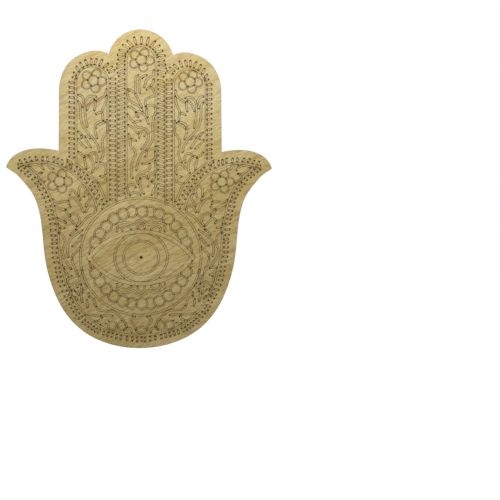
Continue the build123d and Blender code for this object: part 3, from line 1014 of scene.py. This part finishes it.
@dataclass(frozen=True)
class Vines:
    """The leaves, tendrils and scrolls that fill the fingers, the thumbs, the palm's sides and its foot."""

    half_width: float = 0.48 * MM
    pit_radius: float = 0.31 * MM
    step: float = 0.9 * MM
    mirrored_tables: tuple[Pixels, ...] = (LEFT_FINGER_VINES, THUMB_VINES, FOOT_VINES)
    mirrored_branches: tuple[Pixels, ...] = (LEFT_FINGER_BRANCHES,)
    plain_tables: tuple[Pixels, ...] = (MIDDLE_FINGER_VINES,)
    plain_branches: tuple[Pixels, ...] = (MIDDLE_FINGER_BRANCHES,)
    mirrored_dots: Pixels = (*SIDE_DOTS, *FOOT_DOTS)
    dot_radius: float = 0.40 * MM
    plain_dots: Pixels = MIDDLE_FINGER_DOTS
    ring_radius: float = 2.1 * MM
    ring_half_width: float = 0.8 * BAND_HALF_WIDTH
    bowl: Pixels = ((0.7, 330.2),)
    bowl_reach: tuple[float, float] = (2.75 * MM, 1.45 * MM)

    def draw(self, pattern: ScoredPattern) -> None:
        """Draw every stroke, dot and ring, those of the left half on both sides.

        Args:
            pattern: takes the strokes.
        """
        strokes = self.strokes(self.mirrored_tables, self.plain_tables)
        branches = self.strokes(self.mirrored_branches, self.plain_branches)
        for stroke in strokes + branches:
            pattern.band(stroke, self.half_width, Heat.SLOW)
            pattern.pit(stroke.points[-1], self.pit_radius)
        for stroke in strokes:
            pattern.pit(stroke.points[0], self.pit_radius)
        for dot in np.vstack([self.on_both_halves(self.mirrored_dots), from_pixels(self.plain_dots)]):
            pattern.pit(dot, self.dot_radius)
        reach = (self.ring_radius, self.ring_radius)
        rings = [ellipse(ring, *reach, ROUND_STEP) for ring in self.on_both_halves(FOOT_RINGS)]
        bowls = [ellipse(bowl, *self.bowl_reach, ROUND_STEP) for bowl in from_pixels(self.bowl)]
        for ring in rings + bowls:
            pattern.ribbon(ring, self.ring_half_width, Heat.SLOW)
        log.info("vines: %d strokes", len(strokes) + len(branches))

    @staticmethod
    def on_both_halves(points: Pixels) -> Array:
        """Return the places of pixels of the left half, and then their mirror images."""
        places = from_pixels(points)
        return np.vstack([places, places * (-1, 1)])

    def strokes(self, mirrored: tuple[Pixels, ...], plain: tuple[Pixels, ...]) -> list[Line]:
        """Draw smooth curves through the strokes of some tables.

        Args:
            mirrored: tables of the left half, drawn on both sides.
            plain: tables that are drawn as they are.

        Returns:
            The left half's strokes, their mirror images and the rest.
        """
        halves = [Line(from_pixels(stroke)).smoothed(self.step) for table in mirrored for stroke in table]
        whole = [Line(from_pixels(stroke)).smoothed(self.step) for table in plain for stroke in table]
        return halves + [stroke.mirrored() for stroke in halves] + whole


@dataclass(frozen=True)
class Borders:
    """The double line that runs inside the rim dashes of the palm and the thumbs."""

    thumb_top: Pixels = (
        (-118, 165), (-112, 163.2), (-104, 162.2), (-97, 162.2), (-90, 163.4), (-83, 165.8), (-77, 168.4),
    )
    rim: Pixels = (
        (-116.4, 166.4), (-110, 171.2), (-104, 177.2), (-98.4, 183.8), (-94, 190.6), (-91, 197),
        (-88.6, 204), (-86.6, 212), (-84.4, 221), (-83.2, 230), (-82.6, 240), (-82, 250), (-80.4, 261),
        (-78, 272), (-74.6, 284), (-70, 294), (-64.4, 304), (-57.6, 312.6), (-49, 320.6), (-39, 327),
        (-28, 331.6), (-14, 334.6), (0, 335.4),
    )

    def draw(self, pattern: ScoredPattern) -> None:
        """Draw the borders of both halves.

        Args:
            pattern: takes the strokes.
        """
        top = Line(from_pixels(self.thumb_top)).smoothed(CURVE_STEP)
        rim = Line(from_pixels(self.rim)).smoothed(CURVE_STEP)
        for line in (top, top.mirrored(), rim, rim.mirrored()):
            pattern.ribbon(line, BAND_HALF_WIDTH, Heat.FAST)
        log.info("borders")


@dataclass(frozen=True)
class Domes:
    """The small domes and the scalloped double line above and below the eye."""

    scallop: Pixels = (
        (-26, 226), (-22.5, 223.8), (-15, 222.4), (-9.5, 224), (-7.4, 224.8), (-4.6, 222), (0, 219.6),
    )
    arch: Pixels = ((-3.6, 228.8), (-3.4, 225.6), (-1.8, 223.8), (0.4, 223.2))
    side_dome: Pixels = (
        (-18.6, 231.2), (-19.6, 228.6), (-17.8, 226.6), (-14.4, 226), (-11.6, 227.3), (-9.8, 229.7),
    )
    hook: Pixels = ((-23.9, 232), (-24, 228.4), (-21.6, 226.2))
    half_width: float = 0.9 * BAND_HALF_WIDTH
    pit_radius: float = 0.85 * PIT_RADIUS

    def draw(self, pattern: ScoredPattern) -> None:
        """Draw the domes above the eye, and their mirror image below it.

        Args:
            pattern: takes the strokes.
        """
        for shape in (self.arch, self.side_dome, self.hook, self.scallop):
            upper = np.asarray(shape)
            for half in (upper, below_eye(upper)):
                line = Line(from_pixels(half)).smoothed(ROUND_STEP)
                for side in (line, line.mirrored()):
                    if shape is self.scallop:
                        pattern.ribbon(side, BAND_HALF_WIDTH, Heat.FAST)
                    else:
                        pattern.ribbon(side, self.half_width, Heat.SLOW)
                        pattern.pit(side.points[0], self.pit_radius)
                        if shape is self.side_dome:
                            pattern.pit(side.points[-1], self.pit_radius)
        log.info("domes")


class Side(Enum):
    """Which way an outer veneer shows: the face to the front, the back to the wall."""

    FACE = -1
    BACK = 1


@dataclass
class Net:
    """Points, and the edges between them that a triangulation has to keep."""

    points: list[Array] = field(default_factory=list)
    edges: list[Array] = field(default_factory=list)
    count: int = 0

    def add_points(self, places: Array) -> int:
        """Add points.

        Args:
            places: rows of across and up.

        Returns:
            The number of the first one.
        """
        self.points.append(places)
        self.count += len(places)
        return self.count - len(places)

    def add_line(self, line: Line) -> int:
        """Add a line: its points and the edges from each one to the next.

        Args:
            line: an open or a closed line.

        Returns:
            The number of its first point.
        """
        first = self.add_points(line.points)
        run = first + np.arange(len(line.points))
        self.edges.append(np.column_stack([run[:-1], run[1:]]))
        if line.closed:
            self.edges.append(np.array([[run[-1], first]]))
        return first

    def add_groove(self, groove: Line) -> int:
        """Add a groove: its middle line, then the lines along its left and its right edge.

        Args:
            groove: the middle line.

        Returns:
            The number of the middle line's first point. The edges' points follow in the same order.
        """
        sides = (groove, groove.offset(GROOVE_HALF_WIDTH), groove.offset(-GROOVE_HALF_WIDTH))
        return [self.add_line(side) for side in sides][0]

    def add_tips(self, groove: Line, first: int) -> None:
        """Close both ends of an open groove with a point, half the groove's width past the end.

        Args:
            groove: the middle line.
            first: the number of its first point.
        """
        ends, count = groove.points[[0, -1]], len(groove.points)
        outward = ends - groove.points[[1, -2]]
        tip = self.add_points(ends + outward / np.hypot(*outward.T)[:, None] * GROOVE_HALF_WIDTH)
        left, right = first + count, first + 2 * count
        self.edges.append(np.array([[left, tip], [tip, right]]))
        self.edges.append(np.array([[left + count - 1, tip + 1], [tip + 1, right + count - 1]]))

    def add_pit(self, x: float, z: float, radius: float) -> None:
        """Add a pit: a ring on its rim, a ring on its wall and its middle.

        Args:
            x: its middle across.
            z: its middle up.
            radius: the radius of its rim.
        """
        turn = np.linspace(0, 2 * math.pi, PIT_SIDES, endpoint=False)
        ring = np.column_stack([np.cos(turn), np.sin(turn)]) * radius
        for share in (1, PIT_WALL_SHARE):
            self.add_line(Line(ring * share + (x, z), closed=True))
        self.add_points(np.array([[x, z]]))


def steps_round(edges: Array) -> Array:
    """Count the steps from each point of a loop back to the first one, by doubling jumps.

    Args:
        edges: pairs of point numbers from 0 up, each point once as the first and once as the second.

    Returns:
        For each point, the number of edges that lead to it from the first one.
    """
    back = np.empty(len(edges), int)
    back[edges[:, 1]] = edges[:, 0]
    steps = np.ones(len(edges), int)
    steps[0], back[0] = 0, 0
    for _ in range(math.ceil(math.log2(len(edges))) + 1):
        steps, back = steps + steps[back], back[back]
    return steps


@dataclass
class VeneerSheet:
    """One outer veneer as a closed sheet: its shown side with marks, a worn arris, a brown rim, an edge."""

    name: str
    node: str
    slot: str
    side: Side
    pattern: ScoredPattern
    arris: float = 0.07 * MM
    scorch: float = 0.45 * MM
    rim_burn_share: float = 0.22
    edge_burn_share: float = 0.8

    def outline(self) -> Line:
        """Read the board's outline off the frame's node.

        The triangles on the hidden side are found by their level, and the edges that only one of them uses
        are the outline. Each such edge leads from one corner to the next, so a corner's place in the loop is
        the number of edges back to the first one.

        Returns:
            The closed outline, counter-clockwise as seen from the front.
        """
        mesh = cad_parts[self.node].data
        places = np.empty(len(mesh.vertices) * 3)
        mesh.vertices.foreach_get("co", places)
        mesh.calc_loop_triangles()
        corners = np.empty(len(mesh.loop_triangles) * 3, int)
        mesh.loop_triangles.foreach_get("vertices", corners)
        places, corners = places.reshape(-1, 3), corners.reshape(-1, 3)
        level = places[:, 1].max() if self.side is Side.FACE else places[:, 1].min()
        flat = np.isclose(places[:, 1], level, atol=10**-WELD_DECIMALS)
        rounded, welded = np.unique(np.round(places[:, [0, 2]], WELD_DECIMALS), axis=0, return_inverse=True)
        triangles = welded.ravel()[corners[flat[corners].all(axis=1)]]
        edges = np.vstack([triangles[:, [0, 1]], triangles[:, [1, 2]], triangles[:, [2, 0]]])
        codes = edges[:, 0] * len(rounded) + edges[:, 1]
        single = edges[~np.isin(edges[:, 1] * len(rounded) + edges[:, 0], codes)]
        used = np.unique(single)
        loop = rounded[used][np.argsort(steps_round(np.searchsorted(used, single)))]
        twice_area = (loop[:, 0] * np.roll(loop[:, 1], -1) - loop[:, 1] * np.roll(loop[:, 0], -1)).sum()
        return Line(loop if twice_area > 0 else loop[::-1], closed=True)

    def flat_side(self, rim: Line, scorched: Line) -> tuple[Array, Array, Array]:
        """Triangulate the shown side round every mark.

        Args:
            rim: the side's own outline.
            scorched: the line where the scorch of the rim ends.

        Returns:
            The places of its points, its triangles, and the points that stand on the rim, in order.
        """
        net = Net()
        for line in (rim, scorched):
            net.add_line(line)
        grooves = [groove for groove, _ in self.pattern.grooves]
        firsts = [net.add_groove(groove) for groove in grooves]
        for groove, first in zip(grooves, firsts):
            if not groove.closed:
                net.add_tips(groove, first)
        for pit in self.pattern.pits:
            net.add_pit(*pit)
        places, triangles, number = triangulate(np.vstack(net.points), np.vstack(net.edges), rim)
        return places, triangles, number[: len(rim.points)]

    def build(self) -> bpy.types.Object:
        """Build the closed sheet.

        Returns:
            The piece, riding on the board's body in place of its node, with a "burn" value on each point.
        """
        low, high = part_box(self.node)
        shown, hidden = (low.y, high.y) if self.side is Side.FACE else (high.y, low.y)
        inwards = math.copysign(1, hidden - shown)
        outline = self.outline()
        rim, scorched = outline.offset(self.arris), outline.offset(self.scorch)
        places, triangles, on_rim = self.flat_side(rim, scorched)
        depth, burn = self.pattern.marks(places)
        burn[on_rim] = self.rim_burn_share
        flat_points = np.column_stack([places[:, 0], shown + inwards * depth, places[:, 1]])
        count = len(outline.points)
        edge_points = [
            np.column_stack([outline.points[:, 0], np.full(count, level), outline.points[:, 1]])
            for level in (shown + inwards * self.arris, hidden)
        ]
        arris_row = len(flat_points) + np.arange(count)
        hidden_row = arris_row + count
        walls = np.vstack([wall(on_rim, arris_row), wall(arris_row, hidden_row)])
        ring = np.arange(count)
        _, lid, number = triangulate(outline.points, np.column_stack([ring, np.roll(ring, -1)]), outline)
        lid_faces = hidden_row[np.argsort(number)][lid][:, ::-1]
        faces = np.vstack([triangles, walls, lid_faces])
        if self.side is Side.BACK:
            faces = faces[:, ::-1]
        points = np.vstack([flat_points, *edge_points])
        burns = np.concatenate([burn, np.full(2 * count, self.edge_burn_share)])
        smooth = np.zeros(len(faces), bool)
        smooth[len(triangles) : len(triangles) + len(walls)] = True
        piece = mesh_object(self.name, points, faces, smooth, burns)
        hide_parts(self.node)
        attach(piece, BODY)
        log.info("%s: %d triangles", self.name, len(faces))
        return piece


def wall(outer: Array, inner: Array) -> Array:
    """Join two closed rows of points with a band of triangles.

    Args:
        outer: the numbers of one row's points, counter-clockwise as seen from the front.
        inner: as many numbers of the row behind it.

    Returns:
        Two triangles for each step along the rows.
    """
    next_outer, next_inner = np.roll(outer, -1), np.roll(inner, -1)
    halves = ((outer, inner, next_inner), (outer, next_inner, next_outer))
    return np.vstack([np.column_stack(half) for half in halves])


def mesh_object(name: str, points: Array, faces: Array, smooth: Array, burns: Array) -> bpy.types.Object:
    """Make an object of a triangle mesh.

    Args:
        name: the piece's name.
        points: rows of x, y and z.
        faces: rows of three point numbers.
        smooth: whether each face is shaded smooth.
        burns: how burnt each point is, from 0 to 1.

    Returns:
        The object, linked to the scene and lying at the origin.
    """
    mesh = bpy.data.meshes.new(name)
    mesh.vertices.add(len(points))
    mesh.vertices.foreach_set("co", points.astype(np.float32).ravel())
    mesh.loops.add(faces.size)
    mesh.loops.foreach_set("vertex_index", faces.astype(np.int32).ravel())
    mesh.polygons.add(len(faces))
    mesh.polygons.foreach_set("loop_start", np.arange(0, faces.size, 3, dtype=np.int32))
    mesh.polygons.foreach_set("use_smooth", smooth)
    mesh.update(calc_edges=True)
    mesh.validate()
    mesh.attributes.new(BURN, "FLOAT", "POINT").data.foreach_set("value", burns.astype(np.float32))
    made = bpy.data.objects.new(name, mesh)
    bpy.context.scene.collection.objects.link(made)
    return made


Colour = tuple[float, float, float, float]
Socket = bpy.types.NodeSocket


def colour(red: float, green: float, blue: float) -> Colour:
    """Turn a colour as a screen shows it into the linear colour that a shader takes.

    Args:
        red: the red share of the screen's colour, from 0 to 255, as are the next two.
        green: the green share.
        blue: the blue share.

    Returns:
        The linear shares from 0 to 1, by the screen standard's formula, and full cover.
    """
    shares = np.array([red, green, blue]) / 255
    linear = np.where(shares <= 0.04045, shares / 12.92, ((shares + 0.055) / 1.055) ** 2.4)
    return (*linear.tolist(), 1.0)


@dataclass(frozen=True)
class Figure:
    """One layer of a wood's figure: how its noise is stretched, and which values show how strongly."""

    stretch: tuple[float, float, float]
    values: tuple[float, float]
    shares: tuple[float, float] = (0.0, 1.0)
    detail: float = 2.0
    roughness: float = 0.5
    distortion: float = 0.0


@dataclass(frozen=True)
class Rings:
    """The growth lines: waves across the grain, and how strongly their crests show."""

    stretch: tuple[float, float, float] = (12, 0, 44)
    distortion: float = 5.0
    detail: float = 2.0
    detail_scale: float = 0.8
    detail_roughness: float = 0.5
    crests: tuple[float, float] = (0.88, 1.0)
    share: float = 0.22


# The sockets for colours on a Mix node, which has others of the same names for numbers and vectors
FIRST_COLOUR = 6
SECOND_COLOUR = 7
MIXED_COLOUR = 2


class Graph:
    """One material's nodes, with a short call for each kind that the finishes use."""

    def __init__(self, name: str) -> None:
        """Start an empty material with an output.

        Args:
            name: the material's name.
        """
        self.material = bpy.data.materials.new(name)
        self.material.use_nodes = True
        self.tree = self.material.node_tree
        self.tree.nodes.clear()
        self.output = self.add("ShaderNodeOutputMaterial")

    def add(self, kind: str, settings: dict | None = None, **inputs: object) -> bpy.types.Node:
        """Add a node.

        Args:
            kind: the node's type.
            settings: its own properties.
            inputs: its sockets by name, each a value or another node's socket.

        Returns:
            The node.
        """
        node = self.tree.nodes.new(kind)
        for name, value in (settings or {}).items():
            setattr(node, name, value)
        for name, value in inputs.items():
            self.feed(node.inputs[name.replace("_", " ")], value)
        return node

    def feed(self, socket: Socket, value: object) -> None:
        """Link a socket to another socket, or set it to a value.

        Args:
            socket: the input to feed.
            value: another node's socket, or a plain value.
        """
        if isinstance(value, bpy.types.NodeSocket):
            self.tree.links.new(value, socket)
        else:
            socket.default_value = value

    def grain_space(self, turn: float, stretch: tuple[float, float, float]) -> Socket:
        """Turn the object's coordinates about Y so that X runs with the grain, then scale each axis.

        Args:
            turn: the angle of the turn.
            stretch: what each axis is multiplied by.

        Returns:
            The coordinates.
        """
        where = self.add("ShaderNodeTexCoord").outputs["Object"]
        turned = self.add("ShaderNodeVectorRotate", {"rotation_type": "Y_AXIS"}, Vector=where, Angle=turn)
        scaled = self.add("ShaderNodeVectorMath", {"operation": "MULTIPLY"})
        self.feed(scaled.inputs[0], turned.outputs["Vector"])
        self.feed(scaled.inputs[1], stretch)
        return scaled.outputs["Vector"]

    def height(self) -> Socket:
        """Return the height on the object, in metres."""
        where = self.add("ShaderNodeTexCoord").outputs["Object"]
        return self.add("ShaderNodeSeparateXYZ", Vector=where).outputs["Z"]

    def noise(self, figure: Figure, turn: float) -> Socket:
        """Read the noise of a layer of the figure.

        Args:
            figure: the layer.
            turn: the angle of its grain.

        Returns:
            The noise, of about unit size at the stretched coordinates.
        """
        node = self.add(
            "ShaderNodeTexNoise", {"noise_dimensions": "3D"}, Vector=self.grain_space(turn, figure.stretch),
            Scale=1.0, Detail=figure.detail, Roughness=figure.roughness, Distortion=figure.distortion,
        )
        return node.outputs["Fac"]

    def layer(self, figure: Figure, turn: float) -> Socket:
        """Return how strongly a layer of the figure shows."""
        return self.span(self.noise(figure, turn), figure.values, figure.shares)

    def rings(self, rings: Rings, turn: float) -> Socket:
        """Work out how strongly the growth lines show.

        Args:
            rings: the growth lines.
            turn: the angle of the grain.

        Returns:
            Their share.
        """
        wave = self.add(
            "ShaderNodeTexWave", {"wave_type": "BANDS", "bands_direction": "Z"},
            Vector=self.grain_space(turn, rings.stretch), Scale=1.0, Distortion=rings.distortion,
            Detail=rings.detail, Detail_Scale=rings.detail_scale, Detail_Roughness=rings.detail_roughness,
        )
        return self.times(self.span(wave.outputs["Fac"], rings.crests), rings.share)

    def span(
        self, value: Socket, values: tuple[float, float], shares: tuple[float, float] = (0.0, 1.0)
    ) -> Socket:
        """Map a value from one span to another in a smooth step, held at both ends.

        Args:
            value: the value.
            values: where the step starts and stops.
            shares: the results at both ends.

        Returns:
            The result.
        """
        settings = {"clamp": True, "interpolation_type": "SMOOTHSTEP"}
        node = self.add("ShaderNodeMapRange", settings, Value=value)
        for name, number in zip(("From Min", "From Max", "To Min", "To Max"), (*values, *shares)):
            node.inputs[name].default_value = number
        return node.outputs["Result"]

    def times(self, first: Socket, second: object) -> Socket:
        """Multiply two values.

        Args:
            first: the first value.
            second: the second, as a socket or a number.

        Returns:
            Their product.
        """
        node = self.add("ShaderNodeMath", {"operation": "MULTIPLY"})
        self.feed(node.inputs[0], first)
        self.feed(node.inputs[1], second)
        return node.outputs[0]

    def mix(self, share: Socket, first: object, second: object) -> Socket:
        """Mix two colours.

        Args:
            share: how much of the second colour shows.
            first: the first colour, as a socket or a value.
            second: the second one.

        Returns:
            The mixed colour.
        """
        node = self.add("ShaderNodeMix", {"data_type": "RGBA"})
        self.feed(node.inputs["Factor"], share)
        self.feed(node.inputs[FIRST_COLOUR], first)
        self.feed(node.inputs[SECOND_COLOUR], second)
        return node.outputs[MIXED_COLOUR]

    def finish(
        self, tone: Socket, roughness: object, bump: Socket, strength: float, depth: float, specular: float
    ) -> bpy.types.Material:
        """Close the material with one shader.

        Args:
            tone: the base colour.
            roughness: the roughness.
            bump: the height that bends the light.
            strength: how much of the bump shows.
            depth: the bump's real height.
            specular: the level of the plain reflection.

        Returns:
            The material.
        """
        relief = self.add("ShaderNodeBump", Height=bump, Strength=strength, Distance=depth)
        shader = self.add("ShaderNodeBsdfPrincipled", Normal=relief.outputs["Normal"])
        self.feed(shader.inputs["Base Color"], tone)
        self.feed(shader.inputs["Roughness"], roughness)
        shader.inputs["Specular IOR Level"].default_value = specular
        self.tree.links.new(shader.outputs["BSDF"], self.output.inputs["Surface"])
        return self.material


@dataclass(frozen=True)
class VeneerFinish:
    """Raw sanded maple veneer: slanting grain, growth lines, streaks, fine flecks and scorched marks, with a
    painted sheen that whitens it towards the top.
    """

    name: str
    pale: Colour = colour(200, 185, 127)
    # Painted sheen, not a tone of the wood: a whiter, cooler colour standing in for the lamp's reflection
    # near the top of the hand
    painted_sheen: Colour = colour(187, 182, 145)
    deep: Colour = colour(184, 167, 104)
    streak: Colour = colour(150, 106, 50)
    fleck: Colour = colour(153, 107, 58)
    burnt: Colour = colour(112, 86, 50)
    char: Colour = colour(58, 40, 23)
    grain_turn: float = math.radians(27)
    clouds: Figure = Figure((14, 60, 110), (0.3, 0.7), distortion=0.4)
    # The heights over which the painted sheen comes in, from the middle of the hand up to its top
    painted_sheen_heights: tuple[float, float] = (0.0, 0.076)
    rings: Rings = Rings()
    patches: Figure = Figure((70, 60, 560), (0.54, 0.72), detail=3, roughness=0.6, distortion=0.3)
    patch_places: Figure = Figure((18, 20, 40), (0.40, 0.62), (0.10, 0.62), detail=1)
    flecks: Figure = Figure((330, 900, 2300), (0.44, 0.70), roughness=0.6)
    fleck_heights: tuple[float, float] = (-0.03, 0.03)
    fleck_shares: tuple[float, float] = (0.72, 0.58)
    fibres: Figure = Figure((900, 4000, 9000), (0.35, 0.75), (0.0, 0.22))
    uneven_burn: Figure = Figure((700, 700, 700), (0.3, 0.7), (0.8, 1.2), detail=1)
    browned_burns: tuple[float, float] = (0.0, 0.62)
    charred_burns: tuple[float, float] = (0.45, 1.0)
    roughness: tuple[float, float] = (0.5, 0.8)
    specular: float = 0.5
    bump_strength: float = 0.35
    bump_depth: float = 0.04 * MM

    def make(self) -> bpy.types.Material:
        """Build the material.

        Returns:
            The material: the wood's tones one over another, the palest one whitened towards the top by a
                painted sheen, then the scorch by each point's "burn".
        """
        graph = Graph(self.name)
        height = graph.height()
        # Painted sheen: the pale tone turns whiter and cooler from the middle of the hand up to its top
        pale = graph.mix(graph.span(height, self.painted_sheen_heights), self.pale, self.painted_sheen)
        tone = graph.mix(graph.layer(self.clouds, self.grain_turn), self.deep, pale)
        tone = graph.mix(graph.rings(self.rings, self.grain_turn), tone, self.streak)
        places = graph.layer(self.patch_places, self.grain_turn)
        streaks = graph.times(graph.layer(self.patches, self.grain_turn), places)
        tone = graph.mix(streaks, tone, self.streak)
        strength = graph.span(height, self.fleck_heights, self.fleck_shares)
        flecks = graph.times(graph.layer(self.flecks, self.grain_turn), strength)
        tone = graph.mix(flecks, tone, self.fleck)
        fibres = graph.noise(self.fibres, self.grain_turn)
        tone = graph.mix(graph.span(fibres, self.fibres.values, self.fibres.shares), tone, self.fleck)
        attribute = graph.add("ShaderNodeAttribute", {"attribute_name": BURN}).outputs["Fac"]
        burn = graph.times(attribute, graph.layer(self.uneven_burn, 0.0))
        tone = graph.mix(graph.span(burn, self.browned_burns), tone, self.burnt)
        tone = graph.mix(graph.span(burn, self.charred_burns), tone, self.char)
        rough = graph.span(burn, (0.0, 1.0), self.roughness)
        return graph.finish(tone, rough, fibres, self.bump_strength, self.bump_depth, self.specular)


@dataclass(frozen=True)
class EdgeFinish:
    """The cut edge of a hidden layer: browned by the laser in fine upright streaks across the thickness."""

    name: str
    pale: Colour
    dark: Colour
    streaks: Figure = Figure((1600, 90, 1600), (0.3, 0.7), detail=3, roughness=0.6)
    clouds: Figure = Figure((120, 400, 120), (0.3, 0.8), (0.0, 0.5))
    roughness: float = 0.7
    specular: float = 0.25
    bump_strength: float = 0.4
    bump_depth: float = 0.05 * MM

    def make(self) -> bpy.types.Material:
        """Build the material.

        Returns:
            The material: dark and pale streaks, darkened again in clouds.
        """
        graph = Graph(self.name)
        streaks = graph.noise(self.streaks, 0.0)
        tone = graph.mix(graph.span(streaks, self.streaks.values, self.streaks.shares), self.dark, self.pale)
        tone = graph.mix(graph.layer(self.clouds, 0.0), tone, self.dark)
        return graph.finish(tone, self.roughness, streaks, self.bump_strength, self.bump_depth, self.specular)


@dataclass(frozen=True)
class Board:
    """The five layers of the board."""

    core_pale: Colour = colour(132, 96, 58)
    core_dark: Colour = colour(74, 49, 29)
    glue_pale: Colour = colour(70, 46, 28)
    glue_dark: Colour = colour(38, 25, 16)
    back_grain_turn: float = math.radians(24)

    def draw_pattern(self) -> ScoredPattern:
        """Draw the whole pattern of the face.

        Returns:
            The pattern, with everything that the laser drew.
        """
        pattern = ScoredPattern()
        medallion, eye = Medallion(), Eye()
        motifs = (
            Dashes(), FingerFrames(medallion), medallion, eye, BeadChain(eye), Flowers(), Vines(), Borders(),
            Domes(),
        )
        for motif in motifs:
            motif.draw(pattern)
        log.info("grooves: %d, pits: %d", len(pattern.grooves), len(pattern.pits))
        return pattern

    def build(self) -> None:
        """Build the two outer veneers and dress the three inner layers."""
        pattern = self.draw_pattern()
        face = VeneerSheet("scored_face", "face_veneer", "scored_face", Side.FACE, pattern).build()
        face.data.materials.append(VeneerFinish("maple_face").make())
        back = VeneerSheet("plain_back", "back_veneer", "back_wood", Side.BACK, ScoredPattern()).build()
        back.data.materials.append(VeneerFinish("maple_back", grain_turn=self.back_grain_turn).make())
        core = EdgeFinish("browned_core", self.core_pale, self.core_dark).make()
        glue = EdgeFinish("browned_glue", self.glue_pale, self.glue_dark).make()
        dressings = (("core_veneer", core), ("front_glue_line", glue), ("back_glue_line", glue))
        for node, material in dressings:
            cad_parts[node].material_slots[0].material = material
            log.info("%s: %s", node, material.name)


@dataclass(frozen=True)
class Studio:
    """The camera at the picture's viewing angle, soft lamps before and behind, a pale floor and surround."""

    viewpoint: Viewpoint = Viewpoint()
    key_place: tuple[float, float, float] = (0.004, -0.17, 0.20)
    aim: tuple[float, float, float] = (0.0, 0.0, 0.0)
    key_size: float = 0.15
    key_power: float = 0.87
    back_place: tuple[float, float, float] = (0.05, 0.30, 0.20)
    back_size: float = 0.30
    back_power: float = 1.3
    fill_strength: float = 0.195
    floor_drop: float = 0.16
    floor_size: float = 6.0
    floor_colour: Colour = (0.82, 0.82, 0.82, 1.0)
    floor_glow: float = 0.90
    surround: Colour = (1.0, 1.0, 1.0, 1.0)

    def build(self) -> None:
        """Build the whole studio."""
        self.add_camera()
        self.add_lamp("key", self.key_place, self.key_size, self.key_power)
        self.add_lamp("behind", self.back_place, self.back_size, self.back_power)
        self.add_world()
        self.add_floor()
        bpy.context.scene.view_settings.view_transform = "Standard"

    def add_camera(self) -> None:
        """Put the camera at the viewpoint."""
        data = bpy.data.cameras.new("camera")
        data.lens, data.sensor_width = self.viewpoint.lens, self.viewpoint.sensor
        camera = bpy.data.objects.new("camera", data)
        bpy.context.scene.collection.objects.link(camera)
        camera.matrix_world = self.viewpoint.matrix()
        bpy.context.scene.camera = camera

    def add_lamp(self, name: str, place: tuple[float, float, float], size: float, power: float) -> None:
        """Hang a soft square lamp that points at the middle of the hand.

        Args:
            name: the lamp's name.
            place: where it hangs.
            size: the length of its sides.
            power: its power in watts.
        """
        data = bpy.data.lights.new(name, "AREA")
        data.shape, data.size, data.energy = "SQUARE", size, power
        lamp = bpy.data.objects.new(name, data)
        bpy.context.scene.collection.objects.link(lamp)
        lamp.location = place
        lamp.rotation_mode = "QUATERNION"
        lamp.rotation_quaternion = (Vector(self.aim) - Vector(place)).to_track_quat("-Z", "Y")
        lamp.visible_camera = False

    def add_world(self) -> None:
        """Light evenly from all sides, and show white wherever nothing stands."""
        world = bpy.data.worlds.new("surround")
        world.use_nodes = True
        bpy.context.scene.world = world
        tree = world.node_tree
        background = tree.nodes["Background"]
        rays = tree.nodes.new("ShaderNodeLightPath")
        share = tree.nodes.new("ShaderNodeMapRange")
        share.inputs["To Min"].default_value = self.fill_strength
        tree.links.new(rays.outputs["Is Camera Ray"], share.inputs["Value"])
        tree.links.new(share.outputs["Result"], background.inputs["Strength"])
        background.inputs["Color"].default_value = self.surround

    def add_floor(self) -> None:
        """Lay a wide pale floor below the hand, white to the camera except where the hand shades it."""
        mesh = bpy.data.meshes.new("floor")
        reach, level = self.floor_size / 2, BOARD_LOW.z - self.floor_drop
        corners = [(x * reach, y * reach, level) for x, y in ((-1, -1), (1, -1), (1, 1), (-1, 1))]
        mesh.from_pydata(corners, [], [(0, 1, 2, 3)])
        floor = bpy.data.objects.new("floor", mesh)
        bpy.context.scene.collection.objects.link(floor)
        graph = Graph("pale_floor")
        plain = graph.add("ShaderNodeBsdfDiffuse", Color=self.floor_colour).outputs["BSDF"]
        rays = graph.add("ShaderNodeLightPath")
        glow = graph.add("ShaderNodeEmission", Strength=self.floor_glow).outputs["Emission"]
        lit = graph.add("ShaderNodeAddShader")
        graph.feed(lit.inputs[0], plain)
        graph.feed(lit.inputs[1], glow)
        both = graph.add("ShaderNodeMixShader", Fac=rays.outputs["Is Camera Ray"])
        graph.feed(both.inputs[1], plain)
        graph.feed(both.inputs[2], lit.outputs["Shader"])
        graph.tree.links.new(both.outputs["Shader"], graph.output.inputs["Surface"])
        mesh.materials.append(graph.material)


def main() -> None:
    """Build the board, then the studio."""
    Board().build()
    Studio().build()


if __name__ == "__main__":
    main()
